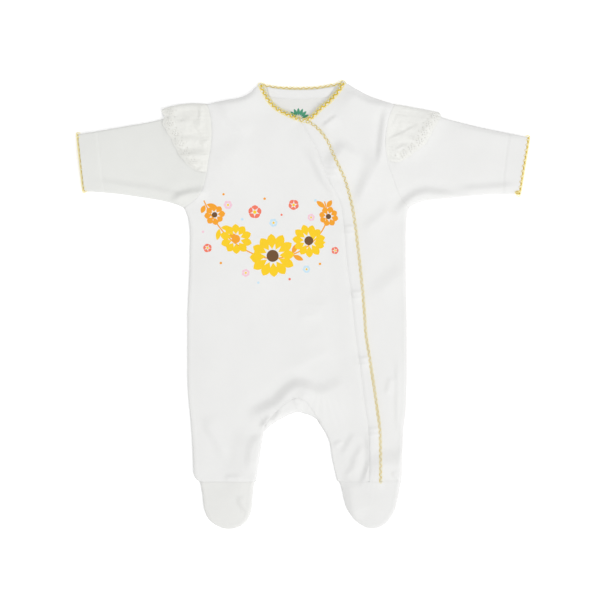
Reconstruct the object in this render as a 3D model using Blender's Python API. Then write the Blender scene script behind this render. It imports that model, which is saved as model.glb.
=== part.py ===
"""Footed baby sleepsuit of cotton jersey, laid flat on its back with its front closed.

Right and left are the wearer's. X runs to the wearer's left, Y to the neck, and Z up from the surface that
the suit lies on. The origin is under the middle of the suit. Sizes and tables are in millimetres, and only the
finished meshes are in metres.
"""

import math
from collections import namedtuple

import bmesh
import bpy

MM = 0.001

# Cloth and seams
CLOTH = 1.2
SEAM_GAP = 0.3
TRIM_WIDTH = 3.6
TRIM_CLOTH = 1.0
TRIM_CLEARANCE = 0.5

# How the upper layer lies over the back
SEAT = CLOTH + SEAM_GAP
CROWN = 3.0
CROWN_REACH = 12.0
FOOT_CROWN = 5.0
FOOT_CROWN_REACH = 9.0
FOOT_CROWN_RISE = 20.0

# Placket: the right front passes over the left one, with the poppers between them
POPPER_RADIUS = 4.6
POPPER_HEIGHT = 1.0
POPPER_SIDES = 20
LAP_RISE = CLOTH + SEAM_GAP + POPPER_HEIGHT + SEAM_GAP
LAP_RAMP = 22.0
UNDERLAP = 1.8

# Flattened tubes of the sleeves
FOLD_INSET = 2.0
CUFF_TRIM_REACH = 3.0

# Frills at the sleeve heads
FRILL_CLEARANCE = 0.8
FRILL_GATHERS = 7
FRILL_STEPS_PER_GATHER = 4
FRILL_COLUMNS = 4
FRILL_WAVE = 2.0
FRILL_WAVE_AT_SEAM = 0.3

# Numbers of quads across each panel
RIGHT_LEG_COLUMNS = 10
RIGHT_FRONT_COLUMNS = 16
LEFT_FRONT_COLUMNS = 7
BAND_COLUMNS = 2
FOOT_COLUMNS = 6

SMOOTH_ANGLE = math.radians(40.0)

# Shoulder seams, from the neck to the sleeve head
SHOULDER_RIGHT = (
    (-48.5, 251.0),
    (-55.0, 245.5),
    (-60.5, 239.5),
    (-70.5, 234.0),
    (-86.0, 230.5),
    (-107.5, 225.0),
)
SHOULDER_LEFT = (
    (44.5, 252.0),
    (52.5, 246.5),
    (64.0, 239.7),
    (75.0, 234.1),
    (86.0, 230.2),
    (102.5, 225.0),
)

# Armholes, from the sleeve head to the underarm
ARMHOLE_RIGHT = (
    (-107.5, 225.0),
    (-103.8, 214.0),
    (-102.0, 199.0),
    (-102.6, 181.0),
    (-105.5, 162.0),
    (-109.0, 142.0),
    (-116.0, 123.5),
    (-124.0, 115.5),
    (-133.5, 109.0),
)
ARMHOLE_LEFT = (
    (102.5, 225.0),
    (99.5, 213.0),
    (97.0, 200.0),
    (95.4, 182.0),
    (97.0, 163.0),
    (101.0, 147.0),
    (104.5, 134.0),
    (109.0, 121.0),
    (118.5, 109.0),
)
HALVED_ARMHOLE_RUNS = 6

# Neck edges of the two fronts, from the shoulder; the left one ends under the right front
NECK_RIGHT = (
    (-48.5, 251.0),
    (-45.0, 243.0),
    (-40.5, 234.0),
    (-35.0, 226.5),
    (-27.0, 219.5),
    (-16.0, 214.0),
    (-4.5, 209.0),
)
NECK_LEFT = (
    (44.5, 252.0),
    (40.5, 243.0),
    (34.5, 235.5),
    (27.5, 228.0),
    (18.5, 221.0),
    (10.5, 212.5),
    (3.0, 208.0),
    (-5.0, 204.0),
)
NECK_BACK = (
    (-44.5, 248.4),
    (-33.5, 245.6),
    (-18.0, 243.6),
    (2.0, 243.4),
    (18.0, 244.4),
    (30.0, 246.4),
    (41.0, 249.2),
)

# Placket over the chest, from the neck to the underarms: where its band is sewn on, and the band's free edge
SEAM_CHEST = (
    (-4.5, 209.0),
    (1.5, 199.0),
    (8.5, 187.0),
    (15.5, 175.0),
    (20.5, 161.0),
    (26.5, 146.5),
    (35.0, 130.0),
    (39.8, 119.0),
)
EDGE_CHEST = (
    (3.0, 207.0),
    (11.5, 203.0),
    (20.0, 195.5),
    (28.0, 184.5),
    (35.0, 168.5),
    (41.5, 154.0),
    (47.5, 137.0),
    (51.5, 123.0),
)

# Sections of the body and legs, level by level: side seams, and the seam and free edge of the placket band
Level = namedtuple("Level", "y right seam edge left")
LEVELS = (
    Level(109.0, -133.5, 43.0, 54.8, 118.5),
    Level(98.0, -129.0, 44.5, 56.7, 116.3),
    Level(84.0, -127.0, 46.0, 58.6, 115.5),
    Level(64.0, -127.0, 47.8, 61.0, 115.3),
    Level(42.0, -127.3, 50.0, 63.6, 115.3),
    Level(18.0, -128.3, 53.0, 66.0, 115.5),
    Level(-9.0, -129.5, 56.0, 68.3, 116.3),
    Level(-33.0, -129.5, 58.8, 70.0, 116.5),
    Level(-53.0, -129.5, 61.5, 73.1, 116.5),
    Level(-68.0, -129.5, 63.7, 75.3, 116.5),
    Level(-81.0, -129.5, 65.4, 77.4, 116.5),
    Level(-93.0, -129.2, 66.9, 79.2, 116.2),
    Level(-104.0, -128.5, 68.2, 80.8, 115.8),
    Level(-108.0, -128.2, 68.8, 81.4, 115.6),
    Level(-113.0, -127.6, 69.6, 82.1, 115.5),
    Level(-119.0, -127.0, 70.4, 82.9, 115.2),
    Level(-126.0, -126.3, 71.5, 83.9, 114.2),
    Level(-134.0, -125.5, 72.6, 85.0, 113.2),
    Level(-143.0, -125.0, 73.3, 85.6, 112.4),
    Level(-155.0, -124.2, 73.8, 86.0, 112.0),
    Level(-168.0, -123.6, 73.8, 86.2, 111.4),
    Level(-183.0, -123.0, 73.7, 86.2, 111.0),
    Level(-197.5, -123.0, 73.6, 86.2, 110.5),
)

# Inner edges of the two legs where the front cloth ends, from the top of the gusset to the ankles
Fork = namedtuple("Fork", "y right left")
FRONT_FORK = (
    Fork(-104.0, -8.0, -8.0),
    Fork(-108.0, -17.0, 2.0),
    Fork(-113.0, -23.5, 6.5),
    Fork(-119.0, -30.0, 11.0),
    Fork(-126.0, -36.0, 15.0),
    Fork(-134.0, -42.0, 20.0),
    Fork(-143.0, -44.5, 25.0),
    Fork(-155.0, -46.0, 30.0),
    Fork(-168.0, -48.0, 32.0),
    Fork(-183.0, -50.5, 35.0),
    Fork(-197.5, -52.5, 38.5),
)

# Outer edge of the gusset, which is also the edge of the back there
CROTCH = (
    Fork(-120.0, -6.5, -6.5),
    Fork(-122.5, -14.0, 3.5),
    Fork(-125.5, -20.5, 11.5),
    Fork(-129.5, -27.5, 16.5),
    Fork(-133.5, -34.0, 18.6),
    Fork(-139.5, -41.0, 22.6),
    Fork(-143.0, -44.5, 25.0),
)
GUSSET_COLUMNS = 2
GUSSET_ROWS_RIGHT = 5
GUSSET_ROWS_LEFT = 4

# Sleeves, from beside the armhole to the cuff: the share of the armhole's curve, and the two folded edges
Cut = namedtuple("Cut", "bow top_x top_y under_x under_y")
SLEEVE_RIGHT = (
    Cut(0.75, -124.0, 220.8, -146.0, 114.0),
    Cut(0.50, -141.0, 216.0, -158.0, 117.0),
    Cut(0.28, -158.0, 208.5, -171.0, 119.3),
    Cut(0.12, -176.0, 204.3, -186.0, 121.6),
    Cut(0.03, -196.0, 201.0, -203.0, 124.0),
    Cut(0.0, -216.0, 197.5, -220.0, 125.8),
    Cut(0.0, -235.0, 194.3, -234.0, 126.8),
    Cut(0.0, -252.0, 191.8, -245.0, 127.3),
)
SLEEVE_LEFT = (
    Cut(0.75, 119.5, 221.0, 131.0, 115.2),
    Cut(0.50, 136.0, 217.2, 144.0, 118.0),
    Cut(0.28, 153.5, 211.0, 158.0, 119.3),
    Cut(0.12, 172.0, 205.8, 175.0, 121.0),
    Cut(0.03, 193.0, 200.6, 195.0, 123.0),
    Cut(0.0, 213.0, 196.2, 212.0, 124.2),
    Cut(0.0, 232.0, 192.4, 227.0, 124.3),
    Cut(0.0, 252.0, 188.2, 241.5, 124.0),
)

# Frills, from the shoulder round to the lower end: the sewn edge and the free edge
Rib = namedtuple("Rib", "seam_x seam_y free_x free_y")
FRILL_RIGHT = (
    Rib(-108.0, 225.4, -156.5, 221.5),
    Rib(-106.3, 219.5, -157.5, 215.0),
    Rib(-104.4, 214.0, -155.5, 208.0),
    Rib(-103.4, 206.0, -151.0, 199.5),
    Rib(-102.6, 198.0, -147.0, 192.0),
    Rib(-102.9, 188.0, -145.8, 181.0),
    Rib(-103.6, 178.0, -143.0, 171.5),
    Rib(-104.8, 170.0, -136.5, 163.0),
    Rib(-106.1, 162.0, -129.5, 154.5),
    Rib(-107.3, 155.0, -122.0, 149.0),
    Rib(-108.3, 149.5, -112.0, 147.5),
)
FRILL_LEFT = (
    Rib(103.0, 225.3, 153.0, 216.5),
    Rib(101.6, 219.5, 154.0, 211.5),
    Rib(100.3, 214.0, 149.0, 206.5),
    Rib(98.7, 206.0, 145.0, 200.0),
    Rib(97.4, 198.0, 143.5, 192.5),
    Rib(96.7, 190.0, 139.0, 184.5),
    Rib(96.0, 182.0, 131.5, 176.5),
    Rib(96.8, 174.0, 123.0, 170.5),
    Rib(97.6, 167.0, 114.5, 164.5),
    Rib(98.8, 161.0, 105.0, 159.0),
)

# Feet, from the ankle seam to the toes
Span = namedtuple("Span", "y low high")
FOOT_RIGHT = (
    Span(-197.8, -115.5, -54.0),
    Span(-205.0, -114.0, -55.5),
    Span(-212.0, -112.8, -56.0),
    Span(-220.0, -112.0, -57.0),
    Span(-228.0, -111.0, -57.5),
    Span(-236.0, -108.0, -60.0),
    Span(-242.0, -104.0, -63.5),
    Span(-247.0, -97.0, -69.0),
    Span(-250.5, -88.0, -78.0),
)
FOOT_LEFT = (
    Span(-197.8, 40.5, 110.0),
    Span(-205.0, 43.0, 108.3),
    Span(-212.0, 44.5, 107.3),
    Span(-220.0, 46.5, 105.5),
    Span(-228.0, 49.0, 103.5),
    Span(-236.0, 54.0, 99.5),
    Span(-242.0, 59.0, 95.5),
    Span(-247.0, 66.0, 89.5),
    Span(-250.0, 73.0, 81.0),
)

# Neck tape inside the back, from right to left: its upper and lower edge
Tape = namedtuple("Tape", "top_x top_y low_x low_y")
NECK_TAPE = (
    Tape(-40.5, 244.8, -37.5, 233.6),
    Tape(-31.5, 242.8, -29.5, 232.4),
    Tape(-18.0, 241.4, -17.0, 231.2),
    Tape(2.0, 241.2, 1.0, 231.0),
    Tape(18.0, 242.2, 16.5, 231.8),
    Tape(27.5, 243.6, 25.0, 232.8),
    Tape(36.0, 245.0, 29.0, 233.8),
)

# Poppers down the placket
POPPER_LEVELS = (149.0, 84.0, 11.0, -63.0, -142.0)

# Largest folds: from, to, half width and height; a negative height is a trough
Fold = namedtuple("Fold", "x1 y1 x2 y2 width height")
FOLDS = (
    Fold(-62.0, -124.0, -28.0, -103.0, 9.0, 2.6),
    Fold(-28.0, -103.0, -9.0, -84.0, 9.0, 3.0),
    Fold(-6.0, -86.0, 12.0, -92.0, 9.0, -1.2),
    Fold(12.0, -92.0, 45.0, -74.0, 10.0, 2.4),
    Fold(-50.0, -140.0, -66.0, -178.0, 8.0, 2.0),
    Fold(43.0, -168.0, 57.0, -143.0, 8.0, 1.8),
    Fold(45.0, -192.0, 64.0, -160.0, 8.0, 2.0),
    Fold(-115.0, 133.0, -141.0, 121.0, 8.0, 2.2),
    Fold(86.0, 216.0, 79.0, 168.0, 10.0, 1.8),
    Fold(79.0, 168.0, 62.0, 126.0, 10.0, 1.2),
    Fold(120.0, 126.0, 156.0, 131.0, 8.0, 2.2),
    Fold(-226.0, 141.0, -135.0, 134.0, 9.0, 1.4),
    Fold(-15.0, -72.0, 34.0, -50.0, 14.0, 1.2),
    Fold(-20.0, -14.0, 25.0, -10.0, 14.0, 1.0),
    Fold(80.0, -28.0, 104.0, 8.0, 10.0, 1.3),
)

JERSEY = ("jersey_white", (0.86, 0.86, 0.85), 0.9)
BAND = ("band_white", (0.85, 0.85, 0.84), 0.9)
EYELET = ("eyelet_cotton", (0.83, 0.83, 0.79), 0.85)
PICOT = ("picot_yellow", (0.72, 0.42, 0.06), 0.8)
POPPER = ("popper_white", (0.80, 0.80, 0.80), 0.35)


def ease(t):
    """Smooth step from 0 to 1."""
    t = min(max(t, 0.0), 1.0)
    return t * t * (3.0 - 2.0 * t)


def between(p, q, t):
    """Point at share t of the way from p to q."""
    return (p[0] + (q[0] - p[0]) * t, p[1] + (q[1] - p[1]) * t)


def spread(p, q, count):
    """Points that divide the line from p to q in equal runs."""
    return [between(p, q, i / count) for i in range(count + 1)]


def halved(path):
    """The path with a point added in the middle of each run."""
    points = []
    for p, q in zip(path, path[1:]):
        points += [p, between(p, q, 0.5)]
    return points + [path[-1]]


def shares(path):
    """Share of the path's length at each of its points."""
    lengths = [0.0]
    for p, q in zip(path, path[1:]):
        lengths.append(lengths[-1] + math.dist(p, q))
    return [length / lengths[-1] for length in lengths]


def along(path, share):
    """Point at a share of the path's length."""
    marks = shares(path)
    for i in range(len(path) - 1):
        if share <= marks[i + 1]:
            return between(path[i], path[i + 1], (share - marks[i]) / (marks[i + 1] - marks[i]))
    return path[-1]


def moved(path, x, y):
    """The path moved in the plane."""
    return [(p[0] + x, p[1] + y) for p in path]


def toward(p, q, distance):
    """Point at a distance from p on the way to q."""
    return between(p, q, distance / math.dist(p, q))


def distance_to_run(point, p, q):
    """Distance from a point to the line from p to q, and the share of the line at the nearest point."""
    length2 = (q[0] - p[0]) ** 2 + (q[1] - p[1]) ** 2
    share = ((point[0] - p[0]) * (q[0] - p[0]) + (point[1] - p[1]) * (q[1] - p[1])) / length2
    share = min(max(share, 0.0), 1.0)
    return math.dist(point, between(p, q, share)), share


def distance_to_paths(point, paths):
    """Shortest distance from a point to any of the paths."""
    return min(distance_to_run(point, p, q)[0] for path in paths for p, q in zip(path, path[1:]))


# Edges at which the upper and lower layers meet
SIDE_RIGHT = [(level.right, level.y) for level in LEVELS]
SIDE_LEFT = [(level.left, level.y) for level in LEVELS]
INSEAM = CROTCH + FRONT_FORK[len(CROTCH) :]
LEG_RIGHT = [(row.right, row.y) for row in INSEAM]
LEG_LEFT = [(row.left, row.y) for row in INSEAM]


def sleeve_edges(armhole, cuts):
    """Upper and lower folded edge of a sleeve, from the armhole to the cuff."""
    top = [armhole[0]] + [(cut.top_x, cut.top_y) for cut in cuts]
    under = [armhole[-1]] + [(cut.under_x, cut.under_y) for cut in cuts]
    return top, under


FOLDED_EDGES = (
    SHOULDER_RIGHT,
    SHOULDER_LEFT,
    *sleeve_edges(ARMHOLE_RIGHT, SLEEVE_RIGHT),
    *sleeve_edges(ARMHOLE_LEFT, SLEEVE_LEFT),
    SIDE_RIGHT,
    SIDE_LEFT,
    LEG_RIGHT,
    LEG_LEFT,
)


def outer_edge(armhole, side):
    """Edge of a front from the sleeve head down its armhole and side, with points added at the armhole."""
    open_runs = armhole[: HALVED_ARMHOLE_RUNS + 1]
    return halved(open_runs) + list(armhole[HALVED_ARMHOLE_RUNS + 1 :]) + side[1:]


# Right front: its armhole and side, and its neck edge and the placket seam
RIGHT_OUTER = outer_edge(ARMHOLE_RIGHT, SIDE_RIGHT)
SEAM = list(SEAM_CHEST) + [(level.seam, level.y) for level in LEVELS]
EDGE = list(EDGE_CHEST) + [(level.edge, level.y) for level in LEVELS]
RIGHT_INNER = list(NECK_RIGHT[:-1]) + SEAM

# Left front: its neck edge and hidden edge, and its armhole and side
LEFT_OUTER = outer_edge(ARMHOLE_LEFT, SIDE_LEFT)
LEFT_INNER = list(NECK_LEFT) + moved(SEAM[2:], -UNDERLAP, 0.0)


def fold_height(x, y):
    """Rise of the upper layer in its largest folds. A fold fades to nothing at its two ends."""
    height = 0.0
    for fold in FOLDS:
        off, share = distance_to_run((x, y), (fold.x1, fold.y1), (fold.x2, fold.y2))
        fade = math.sin(math.pi * (0.15 + 0.7 * share))
        height += fold.height * fade * math.exp(-((off / fold.width) ** 2))
    return height


def rise(x, y):
    """Height of the underside of the upper layer of body, legs and sleeves."""
    inset = distance_to_paths((x, y), FOLDED_EDGES)
    crown = 1.0 - math.exp(-inset / CROWN_REACH)
    return SEAT + CROWN * crown + fold_height(x, y) * crown


def lap(x, y):
    """Rise of the right front as it passes over the left one."""
    return LAP_RISE * ease((x - crossing(LEFT_INNER, y) + LAP_RAMP) / LAP_RAMP)


def right_front_low(x, y):
    """Height of the underside of the right front and its placket band."""
    return rise(x, y) + lap(x, y)


def floor(x, y):
    return 0.0


def back_top(x, y):
    """Height at which a piece lies on the flat back."""
    return SEAT


def lying(sheet, surface, lift=0.0):
    """Heights of a sheet's points, at a lift above a surface."""
    return [surface(x, y) + lift for x, y in sheet[0]]


def crossing(path, y):
    """Place at which a downward path crosses a level."""
    for p, q in zip(path, path[1:]):
        if p[1] >= y >= q[1]:
            return between(p, q, (p[1] - y) / (p[1] - q[1]))[0]
    return path[-1][0]


def make_material(name, colour, roughness):
    if name in bpy.data.materials:
        return bpy.data.materials[name]
    material = bpy.data.materials.new(name)
    material.use_nodes = True
    shader = material.node_tree.nodes["Principled BSDF"]
    shader.inputs["Base Color"].default_value = (*colour, 1.0)
    shader.inputs["Roughness"].default_value = roughness
    shader.inputs["Metallic"].default_value = 0.0
    material.diffuse_color = (*colour, 1.0)
    return material


def add_object(name, points, faces, finish):
    """Object from points in millimetres and faces."""
    mesh = bpy.data.meshes.new(name)
    mesh.from_pydata([(x * MM, y * MM, z * MM) for x, y, z in points], [], faces)
    mesh.materials.append(make_material(*finish))
    bm = bmesh.new()
    bm.from_mesh(mesh)
    bmesh.ops.recalc_face_normals(bm, faces=bm.faces)
    bm.to_mesh(mesh)
    bm.free()
    mesh.shade_smooth()
    mesh.set_sharp_from_angle(angle=SMOOTH_ANGLE)
    bpy.context.collection.objects.link(bpy.data.objects.new(name, mesh))


def weave(*blocks):
    """A plane sheet from blocks of rows of points. Blocks share the points at which they meet."""
    index = {}
    faces = []
    for rows in blocks:
        ids = [[index.setdefault(point, len(index)) for point in row] for row in rows]
        for upper, lower in zip(ids, ids[1:]):
            for i in range(len(upper) - 1):
                faces.append((upper[i], lower[i], lower[i + 1], upper[i + 1]))
    return list(index), faces


def outlined(outline):
    """A plane sheet with one face."""
    points = list(outline)
    return points, [tuple(range(len(points)))]


def add_wall(name, sheet, heights, wall, finish):
    """Closed wall of cloth over a plane sheet, on the given heights of its points."""
    points, faces = sheet
    count = len(points)
    solid = [(x, y, z + wall) for (x, y), z in zip(points, heights)]
    solid += [(x, y, z) for (x, y), z in zip(points, heights)]
    runs = {(a, b) for face in faces for a, b in zip(face, face[1:] + face[:1])}
    shell = list(faces)
    shell += [tuple(count + i for i in reversed(face)) for face in faces]
    shell += [(b, a, count + a, count + b) for a, b in sorted(runs) if (b, a) not in runs]
    add_object(name, solid, shell, finish)


def add_tube(name, stations, wall, finish):
    """Flattened tube that is open at both ends. Each station runs from one folded edge to the other."""
    fold_z = SEAT - SEAM_GAP / 2.0
    points = []
    for station in stations:
        first, last = station[0], station[-1]
        inner = [toward(first, station[1], FOLD_INSET)]
        inner += station[1:-1]
        inner.append(toward(last, station[-2], FOLD_INSET))
        for inset in (0.0, wall):
            start = toward(first, station[1], inset)
            end = toward(last, station[-2], inset)
            points.append((*start, fold_z))
            points += [(x, y, rise(x, y) + CLOTH - inset) for x, y in inner]
            points.append((*end, fold_z))
            points += [(x, y, inset) for x, y in reversed(inner)]
    size = len(points) // (2 * len(stations))
    faces = []
    for i in range(size):
        j = (i + 1) % size
        for outside in range(0, len(points) - 2 * size, 2 * size):
            inside = outside + size
            beyond = 2 * size
            faces.append((outside + i, outside + j, outside + beyond + j, outside + beyond + i))
            faces.append((inside + j, inside + i, inside + beyond + i, inside + beyond + j))
        for end in (0, len(points) - 2 * size):
            faces.append((end + j, end + i, end + size + i, end + size + j))
    add_object(name, points, faces, finish)


def beside(path, distance):
    """The path moved to the left of the way it runs."""
    points = []
    for i, point in enumerate(path):
        before = path[max(i - 1, 0)]
        after = path[min(i + 1, len(path) - 1)]
        step = distance / math.dist(before, after)
        points.append((point[0] - (after[1] - before[1]) * step, point[1] + (after[0] - before[0]) * step))
    return points


def strip(path, reach):
    """Sheet of a strip that reaches as far to both sides of a path."""
    return weave(list(zip(beside(path, reach), path, beside(path, -reach))))


def front_rows(outer, inner, columns):
    """Straight rows of points from one edge to the other of a front."""
    return [spread(p, q, columns) for p, q in zip(outer, inner)]


def build_back():
    """Back: flat, in one piece from the neck to the ankles."""
    outline = list(reversed(NECK_BACK))
    outline += SHOULDER_RIGHT[:-1]
    outline += ARMHOLE_RIGHT[:-1]
    outline += SIDE_RIGHT
    outline += reversed(LEG_RIGHT)
    outline += LEG_LEFT[1:]
    outline += reversed(SIDE_LEFT)
    outline += reversed(ARMHOLE_LEFT[:-1])
    outline += reversed(SHOULDER_LEFT[:-1])
    sheet = outlined(outline)
    add_wall("back", sheet, lying(sheet, floor), CLOTH, JERSEY)


def build_right_front():
    """Wide front: the right leg, and the left leg as far as the placket seam."""
    inner = moved(RIGHT_INNER, -SEAM_GAP / 2.0, 0.0)
    fork_row = len(RIGHT_OUTER) - len(FRONT_FORK)
    left_leg_columns = RIGHT_FRONT_COLUMNS - RIGHT_LEG_COLUMNS
    columns = RIGHT_FRONT_COLUMNS
    body = [[along(SHOULDER_RIGHT[::-1], i / columns) for i in range(columns + 1)]]
    for row in range(1, fork_row + 1):
        start, end = RIGHT_OUTER[row], inner[row]
        even = between(start, end, RIGHT_LEG_COLUMNS / columns)
        fork = (FRONT_FORK[0].right, start[1])
        middle = between(even, fork, ease(2.0 * row / fork_row - 1.0))
        body.append(spread(start, middle, RIGHT_LEG_COLUMNS) + spread(middle, end, left_leg_columns)[1:])
    right_leg = [body[-1][: RIGHT_LEG_COLUMNS + 1]]
    left_leg = [body[-1][RIGHT_LEG_COLUMNS:]]
    for row, fork in enumerate(FRONT_FORK[1:], fork_row + 1):
        right_leg.append(spread(RIGHT_OUTER[row], (fork.right, fork.y), RIGHT_LEG_COLUMNS))
        left_leg.append(spread((fork.left, fork.y), inner[row], left_leg_columns))
    sheet = weave(body, right_leg, left_leg)
    add_wall("front_right", sheet, lying(sheet, right_front_low), CLOTH, JERSEY)


def build_left_front():
    """Narrow front: the outer half of the left leg, and the chest under the placket."""
    rows = front_rows(LEFT_INNER, LEFT_OUTER, LEFT_FRONT_COLUMNS)
    rows[0] = [along(SHOULDER_LEFT, i / LEFT_FRONT_COLUMNS) for i in range(LEFT_FRONT_COLUMNS + 1)]
    sheet = weave(rows)
    add_wall("front_left", sheet, lying(sheet, rise), CLOTH, JERSEY)


def build_band():
    """Placket band: a strip along the free edge of the wide front."""
    sheet = weave(front_rows(moved(SEAM, SEAM_GAP / 2.0, 0.0), EDGE, BAND_COLUMNS))
    add_wall("placket_band", sheet, lying(sheet, right_front_low), CLOTH, BAND)


def arch(rows):
    """Path over the crotch along the inner edges of the legs, from right to left."""
    right = [(row.right, row.y) for row in rows[1 : GUSSET_ROWS_RIGHT + 1]]
    left = [(row.left, row.y) for row in rows[: GUSSET_ROWS_LEFT + 1]]
    return right[::-1] + left


def build_gusset():
    """Crotch gusset: a curved strip between the front cloth and the folded edge of the crotch."""
    upper = beside(arch(FRONT_FORK), -SEAM_GAP)
    sheet = weave(front_rows(upper, arch(CROTCH), GUSSET_COLUMNS))
    add_wall("crotch_gusset", sheet, lying(sheet, rise), CLOTH, JERSEY)


def build_sleeve(side, armhole, cuts, outward):
    """Sleeve, and the trim round its cuff."""
    stations = [beside(armhole, outward * SEAM_GAP)]
    for cut in cuts:
        station = []
        for point, share in zip(armhole, shares(armhole)):
            chord = between(armhole[0], armhole[-1], share)
            x, y = between((cut.top_x, cut.top_y), (cut.under_x, cut.under_y), share)
            station.append((x + cut.bow * (point[0] - chord[0]), y + cut.bow * (point[1] - chord[1])))
        stations.append(station)
    add_tube("sleeve_" + side, stations, CLOTH, JERSEY)
    trim = [moved(stations[-1], outward * reach, 0.0) for reach in (SEAM_GAP, CUFF_TRIM_REACH)]
    add_tube("cuff_trim_" + side, trim, TRIM_CLOTH, PICOT)


def build_frill(side, ribs):
    """Gathered frill at the sleeve head: a single layer that waves from its seam to its free edge."""
    seam = [(rib.seam_x, rib.seam_y) for rib in ribs]
    free = [(rib.free_x, rib.free_y) for rib in ribs]
    count = FRILL_GATHERS * FRILL_STEPS_PER_GATHER
    rows = [spread(along(seam, i / count), along(free, i / count), FRILL_COLUMNS) for i in range(count + 1)]
    heights = []
    for i, row in enumerate(rows):
        wave = 0.5 - 0.5 * math.cos(2.0 * math.pi * i / FRILL_STEPS_PER_GATHER)
        for j, (x, y) in enumerate(row):
            depth = FRILL_WAVE_AT_SEAM + (FRILL_WAVE - FRILL_WAVE_AT_SEAM) * j / FRILL_COLUMNS
            heights.append(rise(x, y) + CLOTH + FRILL_CLEARANCE + depth * wave)
    add_wall("frill_" + side, weave(rows), heights, CLOTH, EYELET)


def build_foot(side, spans):
    """Foot: a flat sole, and an upper that swells over it toward the toes."""
    low_edge = [(span.low, span.y) for span in spans]
    high_edge = [(span.high, span.y) for span in spans]
    sewn_edge = low_edge + high_edge[::-1]

    def upper_low(x, y):
        swell = ease((spans[0].y - y) / FOOT_CROWN_RISE)
        inset = distance_to_paths((x, y), [sewn_edge])
        return SEAT + (CROWN + (FOOT_CROWN - CROWN) * swell) * (1.0 - math.exp(-inset / FOOT_CROWN_REACH))

    sole = outlined(sewn_edge)
    add_wall("foot_sole_" + side, sole, lying(sole, floor), CLOTH, JERSEY)
    upper = weave(front_rows(low_edge, high_edge, FOOT_COLUMNS))
    add_wall("foot_upper_" + side, upper, lying(upper, upper_low), CLOTH, JERSEY)


def build_trims():
    """Picot trims: along the right neck edge and down the placket, and on the left and back neck edges."""
    trims = (
        ("front_trim", list(NECK_RIGHT) + EDGE, right_front_low, CLOTH + TRIM_CLEARANCE),
        ("neck_trim_left", NECK_LEFT[:-1], rise, CLOTH + SEAM_GAP),
        ("neck_trim_back", NECK_BACK, back_top, 0.0),
    )
    for name, path, surface, lift in trims:
        sheet = strip(path, TRIM_WIDTH / 2.0)
        add_wall(name, sheet, lying(sheet, surface, lift), TRIM_CLOTH, PICOT)


def build_neck_tape():
    """Tape that covers the neck seam inside the back."""
    top_edge = [(row.top_x, row.top_y) for row in NECK_TAPE]
    low_edge = [(row.low_x, row.low_y) for row in NECK_TAPE]
    sheet = weave((top_edge, low_edge))
    add_wall("back_neck_tape", sheet, lying(sheet, back_top), TRIM_CLOTH, BAND)


def build_poppers():
    """Closed poppers between the placket band and the left front."""
    turn = 2.0 * math.pi / POPPER_SIDES
    for number, y in enumerate(POPPER_LEVELS, 1):
        x = (crossing(SEAM, y) + crossing(EDGE, y)) / 2.0
        sheet = outlined(
            (x + POPPER_RADIUS * math.cos(turn * i), y + POPPER_RADIUS * math.sin(turn * i))
            for i in range(POPPER_SIDES)
        )
        seat = rise(x, y) + CLOTH + SEAM_GAP
        add_wall("popper_%d" % number, sheet, [seat] * POPPER_SIDES, POPPER_HEIGHT, POPPER)


def main():
    for item in list(bpy.data.objects):
        bpy.data.objects.remove(item)
    build_back()
    build_right_front()
    build_left_front()
    build_band()
    build_gusset()
    build_sleeve("right", ARMHOLE_RIGHT, SLEEVE_RIGHT, -1.0)
    build_sleeve("left", ARMHOLE_LEFT, SLEEVE_LEFT, 1.0)
    build_frill("right", FRILL_RIGHT)
    build_frill("left", FRILL_LEFT)
    build_foot("right", FOOT_RIGHT)
    build_foot("left", FOOT_LEFT)
    build_trims()
    build_neck_tape()
    build_poppers()


main()
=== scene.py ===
"""Looks of a footed baby sleepsuit of cotton jersey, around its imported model.

The suit lies on its back on a pale floor. Right and left are the wearer's: X runs to the wearer's left and Y
to the neck. Sizes and tables are in millimetres, as in the construction, and finished meshes are in metres.
"""

import math
from collections import namedtuple

import bpy
import numpy as np
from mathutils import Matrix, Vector, kdtree, noise
from mathutils.geometry import delaunay_2d_cdt


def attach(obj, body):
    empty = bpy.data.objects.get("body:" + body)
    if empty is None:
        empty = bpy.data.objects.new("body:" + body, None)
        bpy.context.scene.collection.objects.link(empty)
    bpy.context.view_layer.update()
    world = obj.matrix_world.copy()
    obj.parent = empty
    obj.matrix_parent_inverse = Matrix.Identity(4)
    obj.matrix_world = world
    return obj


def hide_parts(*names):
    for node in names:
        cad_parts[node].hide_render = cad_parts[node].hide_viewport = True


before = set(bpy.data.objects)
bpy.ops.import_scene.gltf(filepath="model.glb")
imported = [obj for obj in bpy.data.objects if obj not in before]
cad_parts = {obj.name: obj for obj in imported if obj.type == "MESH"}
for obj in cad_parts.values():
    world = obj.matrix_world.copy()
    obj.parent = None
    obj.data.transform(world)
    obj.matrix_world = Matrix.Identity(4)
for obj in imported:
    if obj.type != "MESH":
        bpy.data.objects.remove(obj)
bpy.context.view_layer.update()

MM = 0.001
BODY = "root"
SIDES = ("right", "left")

# Way along X from the middle of the suit to each side
OUTWARD = {"right": -1.0, "left": 1.0}


# -----------------------------------------------------------------------------
# The cut of the suit
# -----------------------------------------------------------------------------

# Shoulder seams, from the neck to the sleeve head
SHOULDER_RIGHT = (
    (-47.6, 249.0), (-53.8, 243.7), (-59.4, 238.3), (-65.5, 234.7), (-75.0, 231.8), (-86.0, 230.0),
    (-107.5, 225.0),
)
SHOULDER_LEFT = ((44.5, 252.0), (52.5, 246.5), (64.0, 239.7), (75.0, 234.1), (86.0, 230.2), (102.5, 225.0))

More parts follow.
